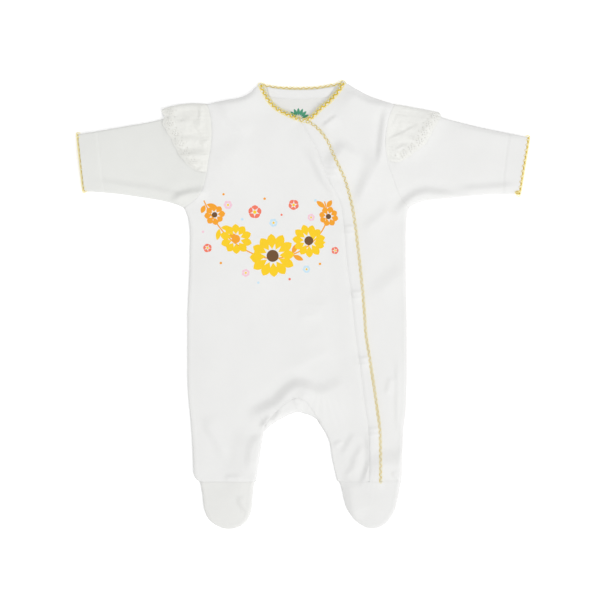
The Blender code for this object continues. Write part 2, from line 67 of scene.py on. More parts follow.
# Armholes, from the sleeve head to the underarm
ARMHOLE_RIGHT = (
    (-107.5, 225.0), (-103.8, 214.0), (-102.0, 199.0), (-102.6, 181.0), (-105.5, 162.0),
    (-109.0, 142.0), (-116.0, 123.5), (-124.0, 115.5), (-133.5, 109.0),
)
ARMHOLE_LEFT = (
    (102.5, 225.0), (97.0, 213.0), (93.8, 200.0), (92.0, 182.0), (94.0, 163.0),
    (99.0, 147.0), (103.6, 134.0), (109.0, 121.0), (118.5, 109.0),
)

# Neck edges, from the shoulder; the left one ends under the right front
NECK_RIGHT = (
    (-47.6, 249.0), (-45.0, 242.5), (-40.5, 234.0), (-35.0, 226.5), (-27.0, 219.5), (-16.0, 214.0),
    (-4.5, 209.0),
)
NECK_LEFT = (
    (44.5, 252.0), (40.5, 243.0), (34.5, 235.5), (27.5, 228.0), (18.5, 221.0), (10.5, 212.5), (3.0, 208.0),
    (-5.0, 204.0),
)
NECK_BACK = (
    (-47.6, 249.0), (-43.5, 247.0), (-33.5, 244.9), (-18.0, 243.6), (2.0, 243.4), (18.0, 244.4),
    (30.0, 246.4), (41.0, 249.2), (44.5, 252.0),
)

# Placket over the chest: where its band is sewn on, and the band's free edge
SEAM_CHEST = (
    (-4.5, 209.0), (1.5, 199.0), (8.5, 187.0), (15.5, 175.0), (20.5, 161.0), (26.5, 146.5), (35.0, 130.0),
    (39.8, 119.0),
)
EDGE_CHEST = (
    (3.0, 207.0), (11.5, 203.0), (20.0, 195.5), (28.0, 184.5), (35.0, 168.5), (41.5, 154.0), (47.5, 137.0),
    (51.5, 123.0),
)

# Sections of the body and legs: side seams, and the seam and free edge of the placket band
Level = namedtuple("Level", "y right seam edge left")
LEVELS = (
    Level(109.0, -133.5, 43.0, 54.8, 118.5),
    Level(98.0, -129.0, 44.5, 56.7, 116.3),
    Level(84.0, -127.0, 46.0, 58.6, 115.5),
    Level(64.0, -127.0, 47.8, 61.0, 115.3),
    Level(42.0, -127.3, 50.0, 63.6, 115.3),
    Level(18.0, -128.3, 53.0, 66.0, 115.5),
    Level(-9.0, -129.5, 56.0, 68.3, 116.3),
    Level(-33.0, -129.5, 58.8, 70.0, 116.5),
    Level(-53.0, -129.5, 61.5, 73.1, 116.5),
    Level(-68.0, -129.5, 63.7, 75.3, 116.5),
    Level(-81.0, -129.5, 65.4, 77.4, 116.5),
    Level(-93.0, -129.2, 66.9, 79.2, 116.2),
    Level(-104.0, -128.5, 68.2, 80.8, 115.8),
    Level(-119.0, -127.0, 70.4, 82.9, 115.2),
    Level(-134.0, -125.5, 72.6, 85.0, 113.2),
    Level(-143.0, -125.0, 73.3, 85.6, 112.4),
    Level(-155.0, -124.2, 73.8, 86.0, 112.0),
    Level(-168.0, -123.6, 73.8, 86.2, 111.4),
    Level(-183.0, -123.0, 73.7, 86.2, 111.0),
    Level(-197.8, -123.0, 73.6, 86.2, 110.5),
)

# Inner edges of the legs where the front cloth ends, and the folded edge of the crotch, which the gusset
# reaches. Below their meeting points the two share the legs' folded edges.
FORK = (
    (-52.5, -197.5), (-50.5, -183.0), (-48.0, -168.0), (-46.0, -155.0), (-44.5, -143.0), (-42.0, -134.0),
    (-36.0, -126.0), (-30.0, -119.0), (-23.5, -113.0), (-17.0, -108.0), (-8.0, -104.0), (2.0, -108.0),
    (6.5, -113.0), (11.0, -119.0), (15.0, -126.0), (20.0, -134.0), (25.0, -143.0), (30.0, -155.0),
    (32.0, -168.0), (35.0, -183.0), (38.5, -197.5),
)
CROTCH = (
    (-44.5, -143.0), (-41.0, -139.5), (-34.0, -133.5), (-27.5, -129.5), (-20.5, -125.5), (-14.0, -122.5),
    (-6.5, -120.0), (3.5, -122.5), (11.5, -125.5), (16.5, -129.5), (18.6, -133.5), (22.6, -139.5),
    (25.0, -143.0),
)
FORK_TO_CROTCH = 4

# Rounded lower corners of the legs, above the feet
CORNER_RIGHT = ((-122.3, -190.0), (-119.6, -195.2), (-115.5, -197.8))
CORNER_LEFT = ((110.6, -192.0), (110.0, -197.8))

# Folded edges of the sleeves from the armhole to the cuff, and the line of the cuff's hem stitches
SLEEVE_TOP_RIGHT = (
    (-107.5, 225.0), (-124.0, 220.8), (-141.0, 216.0), (-158.0, 208.5), (-176.0, 204.3), (-196.0, 201.0),
    (-216.0, 197.5), (-235.0, 194.3), (-252.0, 191.8),
)
SLEEVE_UNDER_RIGHT = (
    (-133.5, 109.0), (-146.0, 114.0), (-158.0, 117.0), (-171.0, 119.3), (-186.0, 121.6), (-203.0, 124.0),
    (-220.0, 125.8), (-234.0, 126.8), (-245.0, 127.3),
)
SLEEVE_TOP_LEFT = (
    (102.5, 225.0), (119.5, 221.0), (136.0, 217.2), (153.5, 211.0), (172.0, 205.8), (193.0, 200.6),
    (213.0, 196.2), (232.0, 192.4), (252.0, 188.2),
)
SLEEVE_UNDER_LEFT = (
    (118.5, 109.0), (131.0, 115.2), (144.0, 118.0), (158.0, 119.3), (175.0, 121.0), (195.0, 123.0),
    (212.0, 124.2), (227.0, 124.3), (241.5, 124.0),
)
HEM_RIGHT = ((-230.5, 194.8), (-227.4, 162.4), (-222.5, 126.0))
HEM_LEFT = ((231.6, 192.2), (227.4, 164.6), (225.1, 143.4), (224.3, 124.4))

# Frills: the sewn edge and the free edge, from the shoulder round to the lower end
FRILL_SEAM_RIGHT = (
    (-108.0, 225.4), (-104.4, 214.0), (-102.6, 198.0), (-103.6, 178.0), (-106.1, 162.0), (-108.3, 149.5),
)
FRILL_FREE_RIGHT = (
    (-156.0, 220.6), (-158.2, 217.6), (-156.8, 214.4), (-155.2, 211.8), (-156.6, 207.5), (-157.0, 203.0),
    (-154.0, 196.0), (-149.5, 189.3), (-146.0, 182.0), (-142.8, 175.8), (-138.9, 168.6), (-132.7, 160.7),
    (-124.9, 153.4), (-113.0, 148.5),
)
FRILL_SEAM_LEFT = (
    (103.0, 225.3), (97.8, 214.0), (94.2, 198.0), (92.6, 182.0), (94.2, 167.0), (96.0, 161.0),
)
FRILL_FREE_LEFT = (
    (153.0, 216.0), (154.3, 211.0), (149.5, 202.5), (144.0, 192.5), (137.5, 181.0), (126.0, 171.5),
    (117.5, 165.0), (105.0, 159.5),
)

# Feet: the sewn edge from the ankle round the toes and back
FOOT_RIGHT = (
    (-115.5, -197.8), (-114.0, -205.0), (-112.8, -212.0), (-112.0, -220.0), (-111.0, -228.0),
    (-108.0, -236.0), (-104.0, -242.0), (-97.0, -247.0), (-88.0, -250.5), (-78.0, -250.5), (-69.0, -247.0),
    (-63.5, -242.0), (-60.0, -236.0), (-57.5, -228.0), (-57.0, -220.0), (-56.0, -212.0), (-55.5, -205.0),
    (-54.0, -197.8),
)
FOOT_LEFT = (
    (40.5, -197.8), (43.0, -205.0), (44.5, -212.0), (46.5, -220.0), (49.0, -228.0), (54.0, -236.0),
    (59.0, -242.0), (66.0, -247.0), (73.0, -250.0), (81.0, -250.0), (89.5, -247.0), (95.5, -242.0),
    (99.5, -236.0), (103.5, -228.0), (105.5, -220.0), (107.3, -212.0), (108.3, -205.0), (110.0, -197.8),
)

# Neck tape inside the back: its upper and lower edge
TAPE_TOP = (
    (-40.5, 244.8), (-31.5, 242.8), (-18.0, 241.4), (2.0, 241.2), (18.0, 242.2), (27.5, 243.6), (36.0, 245.0),
)
TAPE_LOW = (
    (-37.5, 233.6), (-29.5, 232.4), (-17.0, 231.2), (1.0, 231.0), (16.5, 231.8), (25.0, 232.8), (29.0, 233.8),
)

# Level below which the left front ends at its hidden edge under the band, and levels of the poppers
UNDERLAP_TOP = 187.0
POPPER_LEVELS = (149.0, 84.0, 11.0, -63.0, -142.0)


# -----------------------------------------------------------------------------
# How the cloth lies
# -----------------------------------------------------------------------------

# Walls of the cloths
JERSEY_WALL = 0.9
TAPE_WALL = 0.7
TAPE_GAP = 0.1

# Heights of the outer faces: the underside, the folded edge where the two layers meet, and the upper layer,
# which swells by the crown. The layers roll down to the edge, and creases fade toward it over a longer way.
UNDER = 0.1
MEET = 1.35
OVER = 3.1
CROWN = 2.0
CROWN_REACH = 22.0
ROLL = 2.0
CREASE_ROLL = 5.0

# Feet swell more than the legs
ANKLE_LEVEL = -197.8
FOOT_SWELL = 0.6
FOOT_REACH = 14.0
FOOT_RISE = 22.0

# Ridge of the seam allowance that lies inside the sides and the feet
ALLOWANCE = 3.6
ALLOWANCE_RISE = 0.34
ALLOWANCE_WIDTH = 0.9

# The right front over the left one: how much higher it lies and over what width it rises, how far the hidden
# edge is past the seam, and how the left foot follows
LAP = 1.2
LAP_RAMP = 22.0
UNDERLAP = 1.8
FOOT_LAP_EASE = 6.0
FOOT_LAP_REACH = 14.0

# What the poppers under the band press up: a mound with a ridge to both sides of it
POPPER_RISE = 1.5
POPPER_SPREAD = 7.0
POPPER_RIDGE_GAP = 3.4
POPPER_RIDGE = 0.8
POPPER_RIDGE_WIDTH = 1.1

# Sewn seams: a groove, with small puckers to both sides of it, which drift and come and go
SEAM_DEPTH = 0.32
SEAM_WIDTH = 0.9
ANKLE_DEPTH = 0.08
BAND_SEAM_DEPTH = 0.7
BAND_SEAM_WIDTH = 1.5
PUCKER = 0.12
PUCKER_PITCH = 7.0
PUCKER_REACH = 4.0
PUCKER_DRIFT = (1.7, 9.0)
PUCKER_PATCHES = (17.0, 5.3)

# Cuff hems, two layers thick past their groove of stitches, and the sag of the cloth at the neck
STITCH_DEPTH = 0.35
STITCH_WIDTH = 0.7
HEM_RISE = 0.4
HEM_STEP = 1.1
HEM_REACH = 60.0
NECK_SAG = 1.7
NECK_SAG_REACH = 11.0

# Soft swells of the whole upper layer: how wide and how high, how much more they vary across than along, and
# how far apart in the noise each size is read
SWELLS = ((62.0, 0.75), (27.0, 0.32), (12.0, 0.10))
SWELL_ALONG = 0.8
SWELL_APART = 7.3

# Creases by height, reach to the left and to the right of their run, and their points. Folds by height, half
# the width of their step, the width over which they settle, and their points: the cloth steps up across the
# path, on its right, with a shallow dip before the step.
Crease = namedtuple("Crease", "height left right path")
Fold = namedtuple("Fold", "height rise fall path")
CREASE_STEP = 4.0
CREASE_FADE = 0.8
CREASE_WIDTHS = 3.0
FOLD_DIP = 0.12
FOLD_DIP_PLACE = 1.5
FOLD_DIP_WIDTH = 0.9
FOLD_FADE = 0.3
CREASES = (
    # crotch and inner legs
    Fold(5.2, 6.8, 40.0, (
        (-64, -133), (-54.5, -119), (-44, -113.5), (-32.5, -108), (-23.5, -99), (-15.5, -91.5), (-6.5, -87),
        (4, -88), (20, -93), (34, -88),
    )),
    Fold(2.3, 7.5, 34.0, ((-10, -90), (6, -94), (16, -95), (32, -88.5), (49, -77))),
    Fold(2.3, 4.8, 45.0, (
        (-62, -190), (-62.5, -172.5), (-60.3, -159.5), (-55.5, -150), (-46, -146), (-39, -144),
    )),
    Fold(1.7, 2.4, 7.0, ((-50.5, -138), (-43.5, -130), (-37.5, -122))),
    Fold(1.7, 2.4, 6.0, ((-36.5, -132), (-30.5, -124), (-25.5, -116))),
    Fold(1.0, 2.2, 4.0, ((-4, -117), (-10.3, -107.5), (-12, -103))),
    Fold(1.5, 5.0, 12.0, ((-88, -176), (-100, -152.5), (-108, -139), (-114, -122))),
    Fold(2.6, 11.0, 45.0, ((-76, -222), (-77, -190), (-74, -158), (-62, -132))),
    # belly
    Crease(0.9, 6.0, 6.0, ((-6, -13), (21, -11))),
    Crease(1.0, 12.0, 7.0, ((-15, -75), (10, -59), (35, -50))),
    Crease(0.7, 8.0, 8.0, ((-3, -45), (25, -30))),
    Fold(0.5, 4.5, 9.0, ((-10, 1), (10, 3), (32, 2))),
    # left side
    Fold(1.9, 9.0, 16.0, ((72, 10), (86, 24), (100, 36), (114, 50))),
    Fold(1.4, 5.5, 10.0, ((64, 82), (74, 93), (86, 104), (96, 116))),
    Fold(1.0, 2.4, 7.0, ((104.5, -152), (104, -100), (104, -50))),
    Fold(1.2, 3.2, 6.0, ((91, -101), (94, -91), (97, -78))),
    # left front beside the frill, and the soft diagonals below it
    Fold(3.1, 3.6, 10.0, ((83, 152), (84.5, 170), (86, 184.8), (88, 201.6), (93, 229))),
    Fold(2.3, 6.0, 32.0, ((54, 106), (59.5, 119), (68.5, 139), (77.5, 156), (86, 176))),
    Fold(1.5, 6.5, 12.0, ((58, 116), (62.5, 135), (68.5, 156), (76, 182))),
    Fold(3.6, 7.0, 26.0, ((22, 153), (34.5, 169.5), (46, 187))),
    Fold(1.5, 1.9, 7.0, ((19, 198.5), (28, 206), (40, 214.5))),
    Fold(4.2, 4.4, 18.0, ((44, 247), (53.5, 240.5), (70, 231), (86.5, 226.5), (106, 222.5))),
    # underarms, sleeves and shoulders
    Fold(3.6, 5.0, 10.0, (
        (96, 96), (106, 108), (115, 118), (125, 125), (138, 128.5), (153, 127), (182, 123),
    )),
    Fold(2.1, 4.2, 8.0, ((168, 131), (200, 133), (222, 134.5), (246, 136))),
    Fold(1.6, 3.8, 8.0, ((-243, 143), (-200, 136), (-160, 130), (-138, 125), (-116, 126))),
    Fold(3.2, 4.0, 8.0, ((-152, 115), (-139, 123.5), (-128, 127.5), (-116, 129), (-104, 131))),
    Fold(1.5, 3.2, 14.0, ((160, 206), (180, 200.5), (205, 195.5), (235, 189.5), (256, 186))),
    Crease(3.0, 10.0, 14.0, ((150, 220), (146, 208), (137, 193), (129, 182), (118, 174), (100, 164))),
    Crease(2.0, 6.0, 7.0, (
        (-153, 222), (-152, 208), (-149, 196), (-141, 184), (-134, 173), (-126, 164), (-110, 157),
    )),
    Fold(1.6, 4.0, 10.0, ((-60, 186), (-77.5, 200.5), (-96, 222))),
    Fold(1.5, 11.0, 34.0, ((-108, 157), (-88, 173), (-64, 188))),
    Fold(2.6, 3.4, 16.0, ((-106, 223), (-88, 227.5), (-72, 230), (-60, 235), (-48, 246))),
    # beside the placket
    Fold(2.4, 3.8, 9.0, ((43, 113), (32, 125), (21, 139), (9.8, 161.4), (-4, 175))),
    # left ankle and foot
    Fold(1.4, 3.2, 12.0, ((41.5, -171), (50.5, -152), (59, -140))),
    Fold(1.5, 3.6, 9.0, ((43, -200), (49, -188.5), (54.6, -180), (57, -170), (62.5, -161), (70, -149.5))),
    Fold(2.7, 3.2, 14.0, ((59, -206), (66, -195), (69.4, -186), (72.2, -174.5), (72.2, -157), (71, -138))),
    Fold(1.1, 2.2, 5.0, ((32.5, -157), (38.5, -153.5), (45, -151))),
    Fold(2.3, 4.4, 16.0, ((60, -244), (52.4, -226), (48.5, -208.2), (43, -194))),
    Fold(4.9, 11.0, 30.0, ((74, -166), (96, -169.5), (124, -163))),
    Fold(1.3, 2.2, 5.0, ((108.7, -199), (101.4, -191.5), (97.7, -187))),
    # right foot
    Fold(1.8, 2.8, 7.0, ((-58.5, -238), (-69, -226), (-75.5, -214))),
    Fold(1.1, 2.8, 4.0, ((-90, -194), (-77.5, -191), (-66.5, -194))),
)

# Creases of the hidden underside, where it lifts off the floor
UNDERSIDE_CREASES = (
    Crease(0.6, 6.0, 9.0, ((-70, -110), (-30, -96), (10, -90), (50, -98))),
    Crease(0.5, 7.0, 5.0, ((-95, 190), (-60, 150), (-30, 140))),
    Crease(0.5, 5.0, 8.0, ((85, 185), (60, 140), (20, 128))),
    Crease(0.4, 8.0, 8.0, ((-60, 20), (0, 8), (60, 22))),
    Crease(0.5, 4.0, 6.0, ((-100, -150), (-70, -172))),
    Crease(0.5, 6.0, 4.0, ((60, -150), (92, -176))),
    Crease(0.4, 5.0, 5.0, ((-215, 165), (-140, 158))),
    Crease(0.4, 5.0, 5.0, ((130, 160), (210, 166))),
)

# Fineness of the meshes: outlines, cloth that shows and cloth that doesn't, and rings of points inside the
# edges. A point of a ring or of the lattice keeps at least a share of its distance from the ones before it.
OUTLINE_STEP = 1.4
FINE = 1.7
HIDDEN = 3.6
RINGS = (0.3, 0.8, 1.5, 2.3)
RING_ROOM = 0.93
LATTICE_ROOM = 0.45
ROW_HEIGHT = math.sqrt(0.75)

# Points this near are one, and points this near to a folded edge are on it
SAME_PLACE = 0.05
WELD = 1e-5
ON_THE_FOLD = 0.01


# -----------------------------------------------------------------------------
# Paths in the plane
# -----------------------------------------------------------------------------

Marked = namedtuple("Marked", "tree points before after")


def curve(points, step=OUTLINE_STEP):
    """Smooth path through the points, with one at least every step."""
    p = np.array(points, float)
    runs = np.diff(p, axis=0)
    lengths = np.hypot(*runs.T)[:, None]
    slopes = runs / lengths
    inner = (slopes[:-1] * lengths[1:] + slopes[1:] * lengths[:-1]) / (lengths[:-1] + lengths[1:])
    if len(inner):
        tangents = np.vstack([2 * slopes[:1] - inner[:1], inner, 2 * slopes[-1:] - inner[-1:]])
    else:
        tangents = np.vstack([slopes, slopes])
    path = []
    for i, length in enumerate(lengths[:, 0]):
        count = max(1, math.ceil(length / step))
        t = (np.arange(count) / count)[:, None]
        path.append(
            p[i] * (1 + 2 * t) * (1 - t) ** 2
            + p[i + 1] * t * t * (3 - 2 * t)
            + tangents[i] * length * t * (1 - t) ** 2
            + tangents[i + 1] * length * t * t * (t - 1)
        )
    path.append(p[-1:])
    return np.concatenate(path)


def lengths_along(path):
    """Length of a path, flat or not, from its start to each of its points."""
    return np.concatenate([[0.0], np.cumsum(np.sqrt((np.diff(path, axis=0) ** 2).sum(1)))])


def between(values, lengths, where):
    """Rows of values at places between those whose lengths along a path are known."""
    return np.stack([np.interp(where, lengths, column) for column in values.T], axis=1)


def at(path, shares):
    """Points at shares of a path's length."""
    lengths = lengths_along(path)
    return between(path, lengths, np.asarray(shares) * lengths[-1])


def joined(*paths):
    """Closed outline of paths that follow one another, without the points that two of them share."""
    points = np.concatenate(paths)
    gaps = np.hypot(*(points - np.roll(points, 1, axis=0)).T)
    return points[gaps > SAME_PLACE]


def marked(*paths):
    """Paths made ready for distances to them."""
    points = np.concatenate(paths)
    before = np.concatenate([np.vstack([path[:1], path[:-1]]) for path in paths])
    after = np.concatenate([np.vstack([path[1:], path[-1:]]) for path in paths])
    tree = kdtree.KDTree(len(points))
    for i, (x, y) in enumerate(points):
        tree.insert((x, y, 0.0), i)
    tree.balance()
    return Marked(tree, points, before, after)


def from_run(points, p, q):
    """Distance of each point from its own straight run from p to q."""
    run = q - p
    share = ((points - p) * run).sum(1) / np.maximum((run * run).sum(1), 1e-9)
    return np.hypot(*(points - p - np.clip(share, 0.0, 1.0)[:, None] * run).T)


def distance(points, lines):
    """Distance of each point from the nearest of the marked lines."""
    near = [lines.tree.find((x, y, 0.0))[1] for x, y in points]
    p = lines.points[near]
    return np.minimum(from_run(points, lines.before[near], p), from_run(points, p, lines.after[near]))


def nearest(points, path):
    """Distance of each point from a path, on which side of it the point is, and how far along it."""
    away = np.full(len(points), np.inf)
    side = np.zeros(len(points))
    along = np.zeros(len(points))
    start = 0.0
    for p, q in zip(path, path[1:]):
        run = q - p
        length = math.hypot(*run)
        offset = points - p
        share = np.clip(offset @ run / length**2, 0.0, 1.0)
        gap = np.hypot(*(offset - share[:, None] * run).T)
        closer = gap < away
        away[closer] = gap[closer]
        side[closer] = (run[0] * offset[:, 1] - run[1] * offset[:, 0])[closer]
        along[closer] = (start + share * length)[closer]
        start += length
    return away, side, along / start


def inside(points, outline):
    """Whether each point is within a closed outline."""
    x, y = points.T
    within = np.zeros(len(points), bool)
    for (x1, y1), (x2, y2) in zip(outline, np.roll(outline, -1, axis=0)):
        if y1 != y2:
            crosses = (y1 > y) != (y2 > y)
            within ^= crosses & (x < x1 + (y - y1) * (x2 - x1) / (y2 - y1))
    return within


def ease(t):
    """Smooth step from 0 to 1."""
    t = np.clip(t, 0.0, 1.0)
    return t * t * (3.0 - 2.0 * t)


def rounded(t):
    """Quarter round from 0 to 1."""
    return np.sqrt(1.0 - (1.0 - np.clip(t, 0.0, 1.0)) ** 2)


def ridge(t):
    """Rounded ridge of height 1 at 0."""
    return np.exp(-t * t)


def crossing(path, y):
    """Places at which a downward path crosses some levels."""
    return np.interp(-np.asarray(y), -path[:, 1], path[:, 0])


def leftward(path):
    """Level directions to the left of the way a path runs."""
    ahead = np.gradient(path[:, :2], axis=0)
    ahead /= np.hypot(*ahead.T)[:, None]
    return np.stack([-ahead[:, 1], ahead[:, 0], np.zeros(len(path))], axis=1)


def beside(path, reach):
    """The path moved to the left of the way it runs."""
    return path + leftward(path)[:, :2] * reach


def toward(degrees):
    """Level direction at an angle, which starts at X and turns toward Y."""
    angle = math.radians(degrees)
    return np.array([math.cos(angle), math.sin(angle)])


SIDE_RIGHT = curve([(level.right, level.y) for level in LEVELS[:-1]] + list(CORNER_RIGHT))
SIDE_LEFT = curve([(level.left, level.y) for level in LEVELS[:-1]] + list(CORNER_LEFT))
INSEAM_RIGHT = curve(FORK[:FORK_TO_CROTCH] + CROTCH[:1])
INSEAM_LEFT = curve(CROTCH[-1:] + FORK[-FORK_TO_CROTCH:])
CROTCH_EDGE = curve(CROTCH)
FRONT_INSEAM = curve(FORK)
SEAM = curve(SEAM_CHEST + tuple((level.seam, level.y) for level in LEVELS))
EDGE = curve(EDGE_CHEST + tuple((level.edge, level.y) for level in LEVELS))
HIDDEN_EDGE = SEAM + np.array([-UNDERLAP, 0.0])
NECKS = {"right": curve(NECK_RIGHT), "left": curve(NECK_LEFT), "back": curve(NECK_BACK)}
SHOULDERS = {"right": curve(SHOULDER_RIGHT), "left": curve(SHOULDER_LEFT)}
ARMHOLES = {"right": curve(ARMHOLE_RIGHT), "left": curve(ARMHOLE_LEFT)}
SLEEVE_TOPS = {"right": curve(SLEEVE_TOP_RIGHT), "left": curve(SLEEVE_TOP_LEFT)}
SLEEVE_UNDERS = {"right": curve(SLEEVE_UNDER_RIGHT), "left": curve(SLEEVE_UNDER_LEFT)}
FEET = {"right": curve(FOOT_RIGHT), "left": curve(FOOT_LEFT)}
HEMS = {"right": curve(HEM_RIGHT), "left": curve(HEM_LEFT)}
ANKLES = {"right": curve(FEET["right"][[-1, 0]]), "left": curve(FEET["left"][[0, -1]])}

# Edges where the cloth folds round to the underside, and other lines that shape the surface beside them
FOLDED = marked(
    *SHOULDERS.values(),
    *SLEEVE_TOPS.values(),
    *SLEEVE_UNDERS.values(),
    *FEET.values(),
    SIDE_RIGHT,
    SIDE_LEFT,
    INSEAM_RIGHT,
    INSEAM_LEFT,
    CROTCH_EDGE,
)
SEWN = marked(*ARMHOLES.values(), curve(FORK[FORK_TO_CROTCH:-FORK_TO_CROTCH]))
SEWN_ANKLES = marked(*ANKLES.values())
RAISED = marked(SIDE_RIGHT, SIDE_LEFT, *FEET.values())
HEMMED = marked(*HEMS.values())
PLACKET = marked(SEAM)
NECK_EDGES = marked(NECKS["right"], NECKS["left"])


# -----------------------------------------------------------------------------
# Surfaces of the cloth
# -----------------------------------------------------------------------------

def step_up(fold, over, share):
    """Shape of a fold at distances over its path."""
    step = ease(0.5 + 0.5 * over / fold.rise)
    settled = ridge(np.maximum(over - 0.5 * fold.rise, 0.0) / fold.fall)
    dip = FOLD_DIP * ridge((over / fold.rise + FOLD_DIP_PLACE) / FOLD_DIP_WIDTH)
    return (step * settled - dip) * ease(np.minimum(share, 1.0 - share) / FOLD_FADE)


def crease_height(points, creases):
    """Height of the creases and folds. Each one fades to nothing at its two ends."""
    total = np.zeros(len(points))
    for crease in creases:
        path = curve(crease.path, CREASE_STEP)
        reach = CREASE_WIDTHS * max(crease[1:3])
        near = ((points > path.min(0) - reach) & (points < path.max(0) + reach)).all(1)
        if not near.any():
            continue
        away, side, share = nearest(points[near], path)
        if isinstance(crease, Fold):
            shape = step_up(crease, -np.sign(side) * away, share)
        else:
            width = np.where(side > 0.0, crease.left, crease.right)
            shape = np.sin(math.pi * share) ** CREASE_FADE * ridge(away / width)
        total[near] += crease.height * shape
    return total


def unevenness(points, sizes, apart, along=1.0):
    """Uneven swells of several sizes, each with its height."""
    total = np.zeros(len(points))
    for number, (size, height) in enumerate(sizes):
        total += height * np.array([noise.noise((x, along * y, apart * number)) for x, y in points / size])
    return total


def puckers(points, away):
    """Small uneven ripples that a sewn seam draws into the cloth beside it."""
    x, y = points.T
    drift, drift_run = PUCKER_DRIFT
    ripple = np.sin(2.0 * math.pi * (x + y) / PUCKER_PITCH + drift * np.sin(x / drift_run))
    strength = np.sin(y / PUCKER_PATCHES[1] + x / PUCKER_PATCHES[0])
    return PUCKER * ripple * strength * np.exp(-away / PUCKER_REACH)


def relaxed(points):
    """Distance from the folded edges, and height of the upper face as if it didn't roll down to them."""
    inset = distance(points, FOLDED)
    toward_toes = ease((ANKLE_LEVEL - points[:, 1]) / FOOT_RISE)
    reach = CROWN_REACH + (FOOT_REACH - CROWN_REACH) * toward_toes
    crown = 1.0 - np.exp(-inset / reach)
    height = OVER + (CROWN + FOOT_SWELL * toward_toes) * crown
    soft = crease_height(points, CREASES) + unevenness(points, SWELLS, SWELL_APART, SWELL_ALONG)
    height += soft * rounded(inset / CREASE_ROLL)
    height += ALLOWANCE_RISE * ridge((distance(points, RAISED) - ALLOWANCE) / ALLOWANCE_WIDTH)
    sewn = distance(points, SEWN)
    height += puckers(points, sewn) - SEAM_DEPTH * ridge(sewn / SEAM_WIDTH)
    height -= ANKLE_DEPTH * ridge(distance(points, SEWN_ANKLES) / SEAM_WIDTH)
    height -= STITCH_DEPTH * ridge(distance(points, HEMMED) / STITCH_WIDTH)
    for side in SIDES:
        past = OUTWARD[side] * (points[:, 0] - crossing(HEMS[side], points[:, 1]))
        height += HEM_RISE * ease(past / HEM_STEP) * (past < HEM_REACH)
    height -= NECK_SAG * np.exp(-distance(points, NECK_EDGES) / NECK_SAG_REACH) * crown
    return inset, height


def upper(points):
    """Height of the outer face of the upper layer of body, legs, feet and sleeves."""
    inset, height = relaxed(points)
    return MEET + (height - MEET) * rounded(inset / ROLL)


def poppers_at():
    """Centres of the poppers down the placket."""
    y = np.array(POPPER_LEVELS)
    return np.stack([(crossing(SEAM, y) + crossing(EDGE, y)) / 2.0, y], axis=1)


def over_placket(points):
    """Height of the outer face of the right front and its band, which lie over the left front."""
    x, y = points.T
    lift = np.full(len(points), LAP)
    for centre_x, centre_y in poppers_at():
        away = np.hypot(x - centre_x, y - centre_y)
        lift += POPPER_RISE * ridge(away / POPPER_SPREAD)
        across = ridge((x - centre_x) / POPPER_SPREAD)
        for gap in (-POPPER_RIDGE_GAP, POPPER_RIDGE_GAP):
            lift += POPPER_RIDGE * across * ridge((y - centre_y + gap) / POPPER_RIDGE_WIDTH)
    lift *= ease((x - crossing(HIDDEN_EDGE, y) + LAP_RAMP) / LAP_RAMP)
    sewn = distance(points, PLACKET)
    return upper(points) + lift + puckers(points, sewn) - BAND_SEAM_DEPTH * ridge(sewn / BAND_SEAM_WIDTH)


def over_foot(points):
    """Height of the outer face of a foot's upper. It rises to the lapped fronts where it is sewn to them."""
    x, y = points.T
    rise = ease((x - HIDDEN_EDGE[-1, 0] + LAP_RAMP) / LAP_RAMP)
    fall = ease((EDGE[-1, 0] + FOOT_LAP_EASE - x) / FOOT_LAP_EASE)
    return upper(points) + LAP * rise * fall * ease(1.0 + (y - ANKLE_LEVEL) / FOOT_LAP_REACH)


def lower(points):
    """Height of the outer face of the underside, which faces the floor."""
    inset = distance(points, FOLDED)
    lift = crease_height(points, UNDERSIDE_CREASES) * rounded(inset / CREASE_ROLL)
    height = UNDER + np.maximum(lift, 0.0)
    return MEET - (MEET - height) * rounded(inset / ROLL)


def on_back(points):
    """Height of the inner face of the back."""
    return np.full(len(points), UNDER + JERSEY_WALL)


def on_tape(points):
    """Height of the neck tape's face, on the back."""
    return on_back(points) + TAPE_GAP + TAPE_WALL


# -----------------------------------------------------------------------------
# Materials
# -----------------------------------------------------------------------------

# Widths of a knitted column, and of a pair of threads of the woven cloth and of the twist of each thread
WALE = 0.72
WEAVE = 0.55
SEWING_TWIST = 0.4
PICOT_TWIST = 0.6
RESIN_GRAIN = 2.5

# Knitted loops: courses to a wale, and how deep a loop is beside the groove between columns
COURSES = 1.35
LOOP_DEPTH = 0.35

# Unevenness of washed cotton: broad patches and fuzz, both to a metre, how much more the patches count, and
# how strong they are; and the depth of the relief of loops, threads and fuzz
PATCH_SCALE = 22.0
FUZZ_SCALE = 900.0
PATCH_SHARE = 2.0
PATCHES = 0.02
RELIEF = 0.12

WHITE = (0.80, 0.80, 0.79)
INKS = {
    "yellow": (0.91, 0.60, 0.02),
    "orange": (0.88, 0.36, 0.03),
    "coral": (0.86, 0.20, 0.13),
    "pink": (0.87, 0.56, 0.66),
    "blue": (0.55, 0.74, 0.86),
    "brown": (0.16, 0.08, 0.035),
    "green": (0.07, 0.30, 0.18),
}


def add_node(tree, kind, inputs=(), **settings):
    """Adds a node. Inputs are pairs of a socket's name or number and a value or an output."""
    node = tree.nodes.new(kind)
    for name, value in settings.items():
        setattr(node, name, value)
    for socket, value in inputs:
        if isinstance(value, bpy.types.NodeSocket):
            tree.links.new(value, node.inputs[socket])
        else:
            node.inputs[socket].default_value = value
    return node


def math_node(tree, operation, *values):
    """Output of one step of arithmetic on values or outputs."""
    return add_node(tree, "ShaderNodeMath", enumerate(values), operation=operation).outputs[0]


